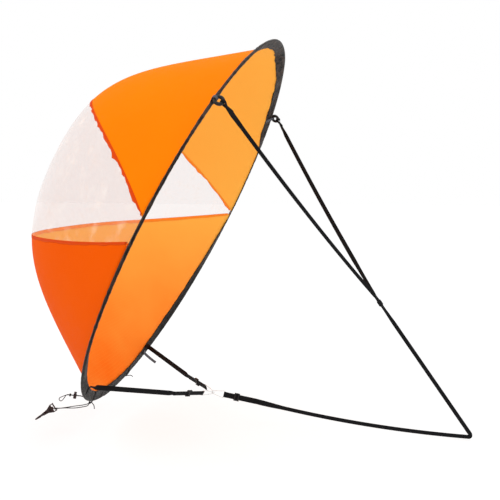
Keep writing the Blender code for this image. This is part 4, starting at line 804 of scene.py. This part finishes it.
def strap(name, node, stops, finish=black_webbing, width=WEBBING_WIDTH,
          thickness=WEBBING_THICKNESS):
    """A flat strap through stops of place, width direction, share of its width and of its thickness."""
    frames = []
    for i, (place, across, *_) in enumerate(stops):
        run = (stops[min(len(stops) - 1, i + 1)][0] - stops[max(0, i - 1)][0]).normalized()
        x_axis = (across - across.dot(run) * run).normalized()
        if frames and x_axis.dot(frames[-1].col[0].to_3d()) < 0:
            x_axis = -x_axis
        frames.append(basis(place, x_axis, run.cross(x_axis)))
    outlines = [rounded_flat(width, thickness * (thicker[0] if thicker else 1.0), share)
                for _, _, share, *thicker in stops]
    piece = put(name, rolled(outlines, frames), finish, "sail", 60.0)
    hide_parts(node)
    return piece


def declare(piece, places):
    """Prints a piece's name and the length of the line that it follows."""
    line_length(places)
    print(piece.name, "length", round(line_length(places), 4))


# %% Directions about a strap
def turned(axis, reference, roll_deg):
    """A direction square to an axis, turned about it from the reference."""
    square = (reference - reference.dot(axis) * axis).normalized()
    return Matrix.Rotation(math.radians(roll_deg), 3, axis) @ square


# %% The sewn end of a strap
def half_turn(steps, over=0.0):
    """Angles of a half turn, which may start a little early and end a little late."""
    return [math.pi * (k / steps * (1 + 2 * over) - over) for k in range(steps + 1)]


def folded_end(bar, run, face, bar_radius, tail, taper):
    """Places from a strap's sewn tail round a bar to its main run."""
    wide = bar_radius + CLEAR + WEBBING_THICKNESS / 2
    places = [bar + run * (tail + (taper - tail) * i / 6) - face * LEVEL for i in range(7)]
    for a in half_turn(16, 0.08):
        places.append(bar + wide * (-math.cos(a) * face - math.sin(a) * run))
    places.append(bar + run * taper + face * LEVEL)
    return places


def above_tail(bar, run, face, tail, taper, count):
    """Places of a strap's main layer over its sewn tail, from the bar outwards."""
    return [bar + run * (taper + (tail - taper) * i / count) + face * LEVEL for i in range(1, count + 1)]


# %% Long runs of webbing
GATHERED = 2.1


def hanging(start, end, count, sag):
    """Places between two ends, both left out, hanging by sag in the middle."""
    shares = [i / count for i in range(1, count)]
    return [start.lerp(end, share) - Z_UP * sag * 4 * share * (1 - share) for share in shares]


def width_between(first, last, run, share):
    """Turns one width direction smoothly into another about a strap's run."""
    a = (first - first.dot(run) * run).normalized()
    b = (last - last.dot(run) * run).normalized()
    b = -b if a.dot(b) < 0 else b
    return a.lerp(b, share * share * (3 - 2 * share)).normalized()


def ease(value, low, high):
    """From 0 at low to 1 at high, without a corner."""
    t = min(1.0, max(0.0, (value - low) / (high - low)))
    return t * t * (3 - 2 * t)


def side_on(run):
    """The way a strap's width points when its face is turned to the side."""
    return run.cross(NEAR).normalized()


def gathered_run(start, end, count, sag, first, last, narrow):
    """A long run whose middle is turned side on and drawn narrower and thicker, as worked webbing is."""
    heading = (end - start).normalized()
    stops = []
    for i, where in enumerate(hanging(start, end, count, sag)):
        share = (i + 1) / count
        across = width_between(first, side_on(heading), heading, ease(share, 0.0, 0.08))
        across = width_between(across, last, heading, ease(share, 0.94, 1.0))
        drawn = ease(share, 0.0, 0.06) * (1 - ease(share, 0.95, 1.0))
        stops.append((where, across, 1.0 + (narrow - 1.0) * drawn, 1.0 + (GATHERED - 1.0) * drawn))
    return stops


# %% Where the three wire rings hold the straps
RING_NODE = Vector((0.2990, 0.0, -0.0005))
RING_HEIGHT = 0.040
RING_WIRE = 0.0009
STRAP_TAIL = 0.090
STRAP_TAPER = 0.008
LOWER_STRAP_DEG = 150.7


def ring_setting(towards, roll_deg, reach, lift):
    """Direction, bar direction and bar centre of a wire ring."""
    run = (towards - RING_NODE).normalized()
    bar = turned(run, Z_UP, roll_deg)
    return run, bar, RING_NODE + (RING_HEIGHT - reach) * run + lift * bar


SHEET_RING = ring_setting(RING_NODE + Vector((1.0, 0.0, -0.17)), roll_deg=-31.5, reach=0.0090, lift=0.00145)
NEAR_RING = ring_setting(CENTRE + ROD_CIRCLE * outward(LOWER_STRAP_DEG), roll_deg=-39.3, reach=0.0068,
                         lift=-0.0006)
FAR_RING = ring_setting(CENTRE + ROD_CIRCLE * outward(-LOWER_STRAP_DEG), roll_deg=-18.9, reach=0.0034,
                        lift=0.0030)
print("ring bars", [[round(x, 4) for x in setting[2]] for setting in (SHEET_RING, NEAR_RING, FAR_RING)])


def sleeve_face(share, lift):
    """A point on the sleeve's aft face, in the rim's frame."""
    x = INNER_EDGE * share
    return Vector((x, HEM_HALF + (SLEEVE_HALF - HEM_HALF) * (1 - share) ** HEM_FALL + lift, 0.0))


# %% The two lower straps
SEWN_STOPS = 15
LOWER_STOPS = 80
LOWER_NARROW = 0.94
LANDING_SHARES = (1.0, 0.8, 0.6, 0.4, 0.22)


def lower_strap(name, node, setting, deg):
    """From the sleeve's aft face to the ring's bar, and back under itself. The sewn stops past the bar aren't
    counted in its length."""
    run, bar, place = setting
    face = run.cross(bar)
    stops = [(where, bar, 1.0) for where in folded_end(place, run, face, RING_WIRE, STRAP_TAIL, STRAP_TAPER)]
    stops += [(where, bar, 1.0) for where in above_tail(place, run, face, STRAP_TAIL, STRAP_TAPER, 6)]
    frame_here = rim_frame(deg)
    landing = [frame_here @ sleeve_face(share, CLEAR + WEBBING_THICKNESS / 2) for share in LANDING_SHARES]
    across = along_rim(deg)
    start = stops[-1][0]
    last = landing[0] + (start - landing[0]).normalized() * WEBBING_WIDTH / 2
    stops += gathered_run(start, last, LOWER_STOPS, 0.0, bar, across, LOWER_NARROW)
    stops += [(where, across, 1.0) for where in [last] + landing]
    stops.reverse()
    made = strap(name, node, stops)
    to_bar = [stop[0] for stop in stops[:len(stops) - SEWN_STOPS]]
    declare(made, to_bar)


lower_strap("near_foot_strap", "near_lower_strap", NEAR_RING, LOWER_STRAP_DEG)
lower_strap("far_foot_strap", "far_lower_strap", FAR_RING, -LOWER_STRAP_DEG)

# %% [markdown]
# ## The sheet
#
# The sheet starts where the two bridle legs are sewn together, runs down to the place where it is held, turns
# there and comes back with a slight sag to its own wire ring. It could be one bevelled curve, but the way its
# width points tells how webbing hangs: side on in the long runs, round the bend with its width across the
# pull, and flat at the ring's bar. Its length is what the photograph shows from end to end.

# %% Where the sheet runs and turns
BRIDLE_JOINT = Vector((0.7490, 0.0, 0.2618))
SHEET_BEND = Vector((0.9870, 0.0, -0.0775))
BEND_RADIUS = 0.0085
BEND_OVER = 0.35
SHEET_SAG = 0.013
BINDING_LENGTH = 0.016
SHEET_DOWN = (SHEET_BEND - BRIDLE_JOINT).normalized()
SHEET_ACROSS = turned(SHEET_DOWN, NEAR, 35.0)

ring_run, ring_bar, ring_place = SHEET_RING
ring_face = ring_run.cross(ring_bar)
sheet_end = ring_place + ring_run * STRAP_TAIL
way_back = (sheet_end - SHEET_BEND).normalized()
bend_in = SHEET_DOWN.cross(-NEAR).normalized()
bend_in = -bend_in if bend_in.dot(way_back) < 0 else bend_in
bend_hub = SHEET_BEND + bend_in * BEND_RADIUS
bend_turn = math.pi - SHEET_DOWN.angle(way_back)
sheet_head = BRIDLE_JOINT - SHEET_DOWN * BINDING_LENGTH * 0.45
print("sheet from", [round(x, 4) for x in sheet_head], "to", [round(x, 4) for x in sheet_end])

# %% The sheet
SHEET_SHARE = 0.72
DOWN_STOPS = 28
BEND_STOPS = 17
BACK_STOPS = 60
sheet_stops = []
for i in range(DOWN_STOPS):
    turn = ease(i / DOWN_STOPS, 0.0, 0.3)
    sheet_stops.append((sheet_head.lerp(SHEET_BEND, i / DOWN_STOPS),
                        width_between(SHEET_ACROSS, side_on(SHEET_DOWN), SHEET_DOWN, turn), SHEET_SHARE,
                        1.0 + (GATHERED - 1.0) * turn))
for k in range(BEND_STOPS):
    a = (bend_turn + BEND_OVER) * k / (BEND_STOPS - 1)
    spoke = -math.cos(a) * bend_in + math.sin(a) * SHEET_DOWN
    sheet_stops.append((bend_hub + BEND_RADIUS * spoke, spoke, SHEET_SHARE, GATHERED))
bend_end = sheet_stops[-1][0]
back_run = (sheet_end - bend_end).normalized()
for i, where in enumerate(hanging(bend_end, sheet_end, BACK_STOPS, SHEET_SAG)):
    share = (i + 1) / BACK_STOPS
    drawn = 1 - ease(share, 0.86, 0.98)
    sheet_stops.append((where, width_between(side_on(back_run), ring_bar, back_run, ease(share, 0.8, 1.0)),
                        1.0 + (SHEET_SHARE - 1.0) * drawn, 1.0 + (GATHERED - 1.0) * drawn))
fold = folded_end(ring_place, ring_run, ring_face, RING_WIRE, STRAP_TAIL, STRAP_TAPER)
fold += above_tail(ring_place, ring_run, ring_face, STRAP_TAIL, STRAP_TAPER, 6)
sheet_stops += [(where, ring_bar, 1.0) for where in reversed(fold)]
sheet = strap("sheet_webbing", "sheet_strap", sheet_stops)
declare(sheet, [stop[0] for stop in sheet_stops])

# %% [markdown]
# ## The bridle
#
# Each leg goes round the wire of an eye ring on the sleeve, is sewn back on itself there, and runs to the
# sheet's head with hardly any sag. It could simply end at the ring, but the ring is open and shows the turn.
# So the leg closes up to 7 mm, passes through and opens again, as real webbing does in a small eye.

# %% Where an eye ring hangs on the sleeve
EYE_DEG = 50.6
EYE_MEAN_RADIUS = 0.0098
EYE_WIRE_RADIUS = 0.0042
EYE_WIRE_OUT = 0.0106
EYE_HANG = Vector((1.0, 0.09, -0.45))
EYE_CURVE = 0.0013
EYE_TAIL = 0.035
EYE_TAPER = 0.014
EYE_FOLD_WIDTH = 0.007
EYE_FOLD_SHARE = EYE_FOLD_WIDTH / WEBBING_WIDTH
BRIDLE_SAG = 0.010


def eye_setting(deg):
    """Centre of the eye ring, its wire's place in the tab, and the wire's direction there."""
    wire_place = rim_frame(deg) @ Vector((-EYE_WIRE_OUT, 0.0, 0.0))
    tangent = along_rim(deg)
    hang = Vector((EYE_HANG.x, EYE_HANG.y * (-1 if deg < 0 else 1), EYE_HANG.z))
    hang = (hang - hang.dot(tangent) * tangent).normalized()
    return wire_place + EYE_MEAN_RADIUS * hang, wire_place, tangent


def eye_turn(deg, aim):
    """Where a leg turns round its eye ring: the wire's place and direction there, and the leg's own run."""
    centre, wire_place, tangent = eye_setting(deg)
    eye_axis = (wire_place - centre).normalized().cross(tangent).normalized()
    flat = aim - centre
    in_plane = (flat - flat.dot(eye_axis) * eye_axis).normalized()
    bar = centre + EYE_MEAN_RADIUS * in_plane
    axis = eye_axis.cross(in_plane).normalized()
    axis = -axis if axis.dot(tangent) < 0 else axis
    run = (aim - bar - Z_UP * BRIDLE_SAG).normalized()
    return bar, axis, (run - run.dot(axis) * axis).normalized()


# %% The bridle's two legs
LEG_STOPS = 130
LEG_OPEN_SHARE = 0.6
LEG_SEWN_SHARE = 0.62
LEG_REACH = -0.62


def bridle_leg(name, node, deg, side, narrow):
    """From the eye ring, folded back on itself, to the sheet's head."""
    bar, axis, run = eye_turn(deg, BRIDLE_JOINT - SHEET_DOWN * BINDING_LENGTH)
    face = run.cross(axis)
    stops = []
    for i, where in enumerate(folded_end(bar, run, face, EYE_WIRE_RADIUS + EYE_CURVE, EYE_TAIL, EYE_TAPER)):
        closing = min(1.0, max(0.0, (i - 1) / 5))
        stops.append((where, axis, 1.0 + (EYE_FOLD_SHARE - 1.0) * closing))
    stops[-1] = (stops[-1][0], axis, LEG_OPEN_SHARE)
    for i, where in enumerate(above_tail(bar, run, face, EYE_TAIL, EYE_TAPER, 4)):
        stops.append((where, axis, LEG_OPEN_SHARE + 0.1 * (i + 1)))
    layer = SHEET_DOWN.cross(SHEET_ACROSS) * LAYER
    layer = -layer if layer.dot(NEAR) * side < 0 else layer
    last = BRIDLE_JOINT + SHEET_DOWN * BINDING_LENGTH * LEG_REACH + layer
    leg = gathered_run(stops[-1][0], last, LEG_STOPS, BRIDLE_SAG, axis, SHEET_ACROSS, narrow)
    for i, (where, across, share, thick) in enumerate(leg):
        stops.append((where, across, min(share, 1.0 - 0.4 * ease(i / (LEG_STOPS - 1), 0.6, 0.95)), thick))
    for reach in (-0.5, -0.3, 0.0, 0.25, 0.45):
        where = BRIDLE_JOINT + SHEET_DOWN * BINDING_LENGTH * reach + layer
        stops.append((where, SHEET_ACROSS, LEG_SEWN_SHARE))
    made = strap(name, node, stops)
    declare(made, [stop[0] for stop in stops])


bridle_leg("near_bridle", "near_bridle_leg", EYE_DEG, 1.0, 0.62)
bridle_leg("far_bridle", "far_bridle_leg", -EYE_DEG, -1.0, 0.80)

# %% [markdown]
# ## Small sewn pieces
#
# The wrap binds the bridle's legs to the sheet, and swells a little over each row of stitches. Grey tabs hold
# the eye rings, black ones hold the deck ties, and a grey pull tab stands on the foot. They could be blocks
# with a hole, but a sewn tab is a strap folded over the sleeve's two faces, so the strap helper makes it.

# %% Bridle wrap
BINDING_OVER = 0.0008
BINDING_WIDER = 0.001
BINDING_SWELL = (0.80, 0.97, 1.0, 0.95, 1.0, 0.95, 1.0, 0.97, 0.80)
stack = 1.5 * WEBBING_THICKNESS + 2 * CLEAR + BINDING_OVER
binding_sides = rounded_flat(WEBBING_WIDTH + BINDING_WIDER, 2 * stack, 1.0)
binding_outlines = [[(x * swell, y * swell) for x, y in binding_sides] for swell in BINDING_SWELL]
binding_frames = [basis(BRIDLE_JOINT + SHEET_DOWN * BINDING_LENGTH * (i / 8 - 0.5), SHEET_ACROSS,
                        SHEET_DOWN.cross(SHEET_ACROSS)) for i in range(9)]
binding_shape = rolled(binding_outlines, binding_frames)
binding = put("bridle_binding", binding_shape, black_webbing, "sail", 60.0)
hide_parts("bridle_wrap")


# %% Tabs folded over the sleeve
EYE_TAB_WIDTH = 0.012
TIE_TAB_WIDTH = 0.008
CORD_RADIUS = 0.0011
CORD_PLAY = 0.0004
TAB_SHARES = (0.95, 0.75, 0.55, 0.35, 0.15, 0.0)


def sleeve_tab(name, node, deg, eye, width, fold_width, eye_radius, eye_line, finish):
    """Both legs on the sleeve's faces, the fold round something just outside its edge."""
    frame_here = rim_frame(deg)
    local = frame_here.inverted() @ eye
    reach = eye_radius + CLEAR + WEBBING_THICKNESS / 2
    faces = [sleeve_face(share, CLEAR + WEBBING_THICKNESS / 2) for share in TAB_SHARES]
    stops = [(frame_here @ p, along_rim(deg), 1.0) for p in faces]
    for a in half_turn(16):
        flat = (local.x - reach * math.sin(a), local.y + reach * math.cos(a))
        stops.append((frame_here @ Vector((*flat, 0.0)), eye_line, fold_width / width))
    stops += [(frame_here @ Vector((p.x, -p.y, 0.0)), along_rim(deg), 1.0) for p in reversed(faces)]
    strap(name, node, stops, finish, width)


for side, sign in (("near", 1), ("far", -1)):
    _, wire_place, tangent = eye_setting(sign * EYE_DEG)
    sleeve_tab(side + "_eye_loop", side + "_eye_tab", sign * EYE_DEG, wire_place, EYE_TAB_WIDTH,
               EYE_FOLD_WIDTH, EYE_WIRE_RADIUS + EYE_CURVE, tangent, grey_webbing)
    sleeve_tab(side + "_tie_loop", side + "_tie_tab", sign * TIE_DEG, Vector((0.0, -sign * TIE_Y, 0.0)),
               TIE_TAB_WIDTH, TIE_TAB_WIDTH, CORD_RADIUS + CORD_PLAY, NEAR, black_cord)

# %% Pull tab
PULL_DEG = -152.2
PULL_LENGTH = 0.042
PULL_WIDTH = 0.010
PULL_THICKNESS = 0.0018
PULL_CURVE = ((0.05, 0.03), (0.10, 0.10), (0.17, 0.28), (0.25, 0.50), (0.31, 0.74), (0.35, 0.95))
pull_frame = rim_frame(PULL_DEG)
pull_places = [pull_frame @ sleeve_face(share, CLEAR + PULL_THICKNESS / 2) for share in (0.58, 0.4, 0.22)]
pull_root = pull_places[-1]
pull_rise = (pull_root - pull_places[0]).normalized()
for rise, out in PULL_CURVE:
    pull_places.append(pull_root + pull_rise * PULL_LENGTH * rise + AFT * PULL_LENGTH * out)
strap("pull_loop", "pull_tab", [(where, along_rim(PULL_DEG), 1.0) for where in pull_places], grey_webbing,
      PULL_WIDTH, PULL_THICKNESS)

# %% [markdown]
# ## Deck ties
#
# Two thin cords hold the sail to the deck. Each leaves a knot below the sleeve, passes through its tab's eye
# and runs forward as a doubled strand: the near one to a swivel hook, the far one through a sprung cord lock
# to a loop. A cord could be a bevelled curve. It is the rolled grid again, with a round section that never
# twists about its line, because its braid then follows it in metres, and its two strands and every turn keep
# clear of the fittings by known gaps.

# %% A smooth route for a cord
SPACING = 2 * CORD_RADIUS
CURVE_STEPS = 12


def curve(start, leave, end, reach, t):
    """A place between two points that are left and reached in given directions."""
    return (start * (2 * t ** 3 - 3 * t ** 2 + 1) + leave * (t ** 3 - 2 * t ** 2 + t)
            + end * (3 * t ** 2 - 2 * t ** 3) + reach * (t ** 3 - t ** 2))


def smooth_route(points, spacing):
    """Evenly spaced points on a smooth curve through a cord's route."""
    ends = [points[0] * 2 - points[1]] + list(points) + [points[-1] * 2 - points[-2]]
    fine = [points[0]]
    for i in range(1, len(ends) - 2):
        before, start, end, after = ends[i - 1:i + 3]
        step = (end - start).length
        leave = (end - before) * step / ((start - before).length + step)
        reach = (after - start) * step / ((after - end).length + step)
        fine += [curve(start, leave, end, reach, k / CURVE_STEPS) for k in range(1, CURVE_STEPS + 1)]
    run_to = [0.0]
    for a, b in zip(fine, fine[1:]):
        run_to.append(run_to[-1] + (b - a).length)
    count = max(4, round(run_to[-1] / spacing))
    places, k = [], 0
    for i in range(count + 1):
        want = run_to[-1] * i / count
        while k < len(run_to) - 2 and run_to[k + 1] < want:
            k += 1
        share = (want - run_to[k]) / max(1e-9, run_to[k + 1] - run_to[k])
        places.append(fine[k].lerp(fine[k + 1], min(1.0, share)))
    return places


# %% A round cord
CORD_SIDES = 12


def cord_frames(points, closed=False):
    """Frames along a line whose x axis never turns about it."""
    frames, x_axis = [], None
    for i, here in enumerate(points):
        if closed:
            run = (points[(i + 1) % len(points)] - points[i - 1]).normalized()
        else:
            run = (points[min(len(points) - 1, i + 1)] - points[max(0, i - 1)]).normalized()
        x_axis = run.orthogonal() if x_axis is None else x_axis
        x_axis = (x_axis - x_axis.dot(run) * run).normalized()
        frames.append(basis(here, x_axis, run.cross(x_axis)))
    return frames


def cord_piece(name, node, points, radius=CORD_RADIUS, closed=False):
    """A round cord or strand that stands for a CAD node."""
    outlines = [circle(radius, CORD_SIDES)] * len(points)
    shape = rolled(outlines, cord_frames(points, closed), ring=closed)
    piece = put(name, shape, black_cord, "deck_ties", 60.0)
    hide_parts(node)
    return piece


# %% Strands between a knot and its tab
KNOT_RADIUS = 0.0030
KNOT_OFFSET = 0.0105
KNOT_DROP = 0.0016


def eye_strand(sign):
    """From the knot out through the tab's eye and round towards the bow."""
    y = sign * TIE_Y
    first = y - sign * (KNOT_OFFSET - KNOT_RADIUS - CLEAR)
    return [Vector(p) for p in ((0.0, first, 0.0), (0.0, y, 0.0), (0.0, y + sign * 0.0050, 0.0),
                                (-0.0012, y + sign * 0.0080, -0.0004), (-0.0040, y + sign * 0.0103, -0.0012),
                                (-0.0085, y + sign * 0.0112, -0.0024), (-0.0160, y + sign * 0.0104, -0.0046))]


def knot_strand(sign):
    """From the knot straight towards the bow, below the sleeve."""
    y = sign * (TIE_Y - KNOT_OFFSET)
    return [Vector((-(KNOT_RADIUS + CLEAR), y, -KNOT_DROP)), Vector((-0.0100, y + sign * 0.0004, -0.0030))]


# %% The hook's doubled cord
HOOK_AXIS = Vector((-0.826, 0.0, -0.564)).normalized()
HOOK_BAR_WAY = Vector((-HOOK_AXIS.z, 0.0, HOOK_AXIS.x))
HOOK_BAR_CENTRE = Vector((-0.0975, -0.1600, -0.0151))
HOOK_BAR_RADIUS = 0.00175
HOOK_SEAT = 0.0050
CORD_PULL = Vector((-0.994, 0.0, -0.111))
seat = HOOK_BAR_CENTRE + HOOK_BAR_WAY * HOOK_SEAT
seat_radius = HOOK_BAR_RADIUS + CLEAR * 2 + CORD_RADIUS
pull_way = (HOOK_AXIS + CORD_PULL).normalized()
hook_arc = [seat + seat_radius * (math.cos(a) * NEAR + math.sin(a) * pull_way) for a in half_turn(16, 0.1)]
strand_out = [Vector(p) for p in (
    (-0.0420, -0.1629, -0.0096), (-0.0660, -0.1614, -0.0148), (-0.0830, -0.1618, -0.0176))]
strand_back = [Vector(p) for p in (
    (-0.0830, -0.1582, -0.0182), (-0.0660, -0.1586, -0.0168), (-0.0420, -0.1550, -0.0166),
    (-0.0180, -0.1468, -0.0138), (-0.0098, -0.1446, -0.0110))]
near_knot = knot_strand(-1.0)[0]
knot_entry = near_knot + Vector((-0.0030, 0.0, -0.0030))
hook_out = smooth_route(eye_strand(-1.0) + strand_out + [hook_arc[0]], SPACING)
hook_back = smooth_route([hook_arc[-1]] + strand_back + [knot_entry, near_knot], SPACING)
hook_path = hook_out[:-1] + hook_arc + hook_back[1:]
hook_line = cord_piece("hook_line", "hook_cord", hook_path)
declare(hook_line, hook_path)

# %% The loop that the far cord ends in
LOCK_CENTRE = Vector((-0.1340, 0.0800, -0.0505))
LOCK_TILT = math.radians(12.0)
LOCK_AXIS = Vector((math.sin(LOCK_TILT), 0.0, math.cos(LOCK_TILT)))
STRAND_WAY = Vector((-0.882, -0.453, -0.125))
LOCK_WAY = (STRAND_WAY - STRAND_WAY.dot(LOCK_AXIS) * LOCK_AXIS).normalized()
LOCK_ACROSS = LOCK_AXIS.cross(LOCK_WAY).normalized()
STRAND_HALF = 0.0014
LOOP_TIP = Vector((-0.1777, 0.0680, -0.0637))
LOOP_HALF = 0.0052
LOOP_ROOT = 0.0034
through_lock = [LOCK_CENTRE + LOCK_WAY * x for x in (-0.0260, -0.0150, -0.0092, 0.0170, 0.0215)]
lock_end = through_lock[-1]
pair = LOCK_ACROSS * STRAND_HALF
root = lock_end + (LOCK_WAY * 0.7 + (LOOP_TIP - lock_end).normalized()) * LOOP_ROOT
open_way = (LOOP_TIP - root).normalized()
bow = (LOCK_AXIS - open_way * LOCK_AXIS.dot(open_way)).normalized() * LOOP_HALF
loop_middle = LOOP_TIP - open_way * LOOP_HALF
flank = root.lerp(loop_middle, 0.5)
loop = [root - pair * 0.9 - bow * 0.12, flank - pair * 0.4 - bow * 0.66]
loop += [loop_middle + open_way * (LOOP_HALF * math.sin(a)) - bow * math.cos(a) for a in half_turn(6)]
loop += [flank + pair * 0.4 + bow * 0.66, root + pair * 0.9 + bow * 0.12]

# %% The loop's doubled cord
strand_in = [Vector((-0.0400, 0.1510, -0.0150)), Vector((-0.0900, 0.1130, -0.0395))]
strand_home = [Vector((-0.0900, 0.1130, -0.0395)), Vector((-0.0400, 0.1450, -0.0150))]
loop_route = eye_strand(1.0) + [where - pair for where in strand_in + through_lock] + loop
loop_route += [where + pair for where in through_lock[::-1] + strand_home] + knot_strand(1.0)[::-1]
loop_path = smooth_route(loop_route, SPACING * 0.7)
loop_line = cord_piece("loop_line", "loop_cord", loop_path)
declare(loop_line, loop_path)


# %% [markdown]
# ## Knots
#
# Each tie has a small overhand knot with a short tail, and the far cord's loop is stopped by a coil of finer
# strand. A ball would do from afar. The middle line of an overhand knot is a closed curve with three lobes,
# which one formula gives, and the cord helper makes all of them.

# %% Knots and their tails
KNOT_STRAND = 0.00105
KNOT_STEPS = 90
KNOT_DEPTH = 1.35
TAIL_TIPS = {"near": Vector((0.0118, -0.1545, -0.0165)), "far": Vector((0.0190, 0.1550, -0.0060))}
TAIL_LIFT = 0.0035
TAIL_SPACING = 0.0012


def overhand(name, node, place):
    """A pulled-tight overhand knot, whose middle line is a three-lobed closed curve."""
    reach = (KNOT_RADIUS - KNOT_STRAND * 0.9) / 3
    points = []
    for i in range(KNOT_STEPS):
        t = math.tau * i / KNOT_STEPS
        lobe = Vector((math.cos(t) - 2 * math.cos(2 * t), math.sin(t) + 2 * math.sin(2 * t),
                       -KNOT_DEPTH * math.sin(3 * t)))
        points.append(place + reach * lobe)
    cord_piece(name, node, points, KNOT_STRAND, closed=True)


for side, sign in (("near", -1.0), ("far", 1.0)):
    knot_place = Vector((0.0, sign * (TIE_Y - KNOT_OFFSET), -KNOT_DROP))
    overhand(side + "_knot", side + "_tie_knot", knot_place)
    tip = TAIL_TIPS[side]
    begin = knot_place + (tip - knot_place).normalized() * (KNOT_RADIUS * 0.4)
    tail_path = smooth_route([begin, begin.lerp(tip, 0.6) + UP * TAIL_LIFT, tip], TAIL_SPACING)
    cord_piece(side + "_tail", side + "_tie_tail", tail_path)

# %% The loop's stop knot, a short coil
STOP_FROM_LOCK = 0.0141
COIL_TURNS = 3.0
COIL_STEPS = 96
COIL_LENGTH = 0.0036
COIL_RADIUS = 0.0035
COIL_STRAND = 0.0009
stop_place = LOCK_CENTRE + LOCK_WAY * STOP_FROM_LOCK
coil = []
for i in range(COIL_STEPS + 1):
    a = math.tau * COIL_TURNS * i / COIL_STEPS
    coil.append(stop_place + LOCK_WAY * COIL_LENGTH * (i / COIL_STEPS - 0.5)
                + COIL_RADIUS * (math.cos(a) * LOCK_ACROSS + math.sin(a) * LOCK_AXIS))
cord_piece("loop_knot", "loop_stop_knot", coil, COIL_STRAND)

# %% [markdown]
# ## Hard fittings
#
# The rings, sliders, hook and cord lock already have the right shapes in the CAD model, and they have to fit
# each other when they move. So they aren't modelled again: each keeps its mesh and gets the finish of its
# real stuff. The rod and its ferrule are hidden inside the sleeve.

# %% Finish the CAD fittings
FITTINGS = {
    black_plastic: ("near_eye_ring", "far_eye_ring", "near_slider", "far_slider", "sheet_slider"),
    brown_plastic: ("hook_frame", "hook_shank", "hook_gate", "lock_barrel", "lock_plunger"),
    wire.material: ("near_ring", "far_ring", "sheet_ring"),
    steel.material: ("gate_pin", "hoop_rod", "rod_ferrule"),
}
for finish, names in FITTINGS.items():
    for name in names:
        for slot in nodes[name].material_slots:
            slot.material = finish
print("fittings finished", sum(len(names) for names in FITTINGS.values()))
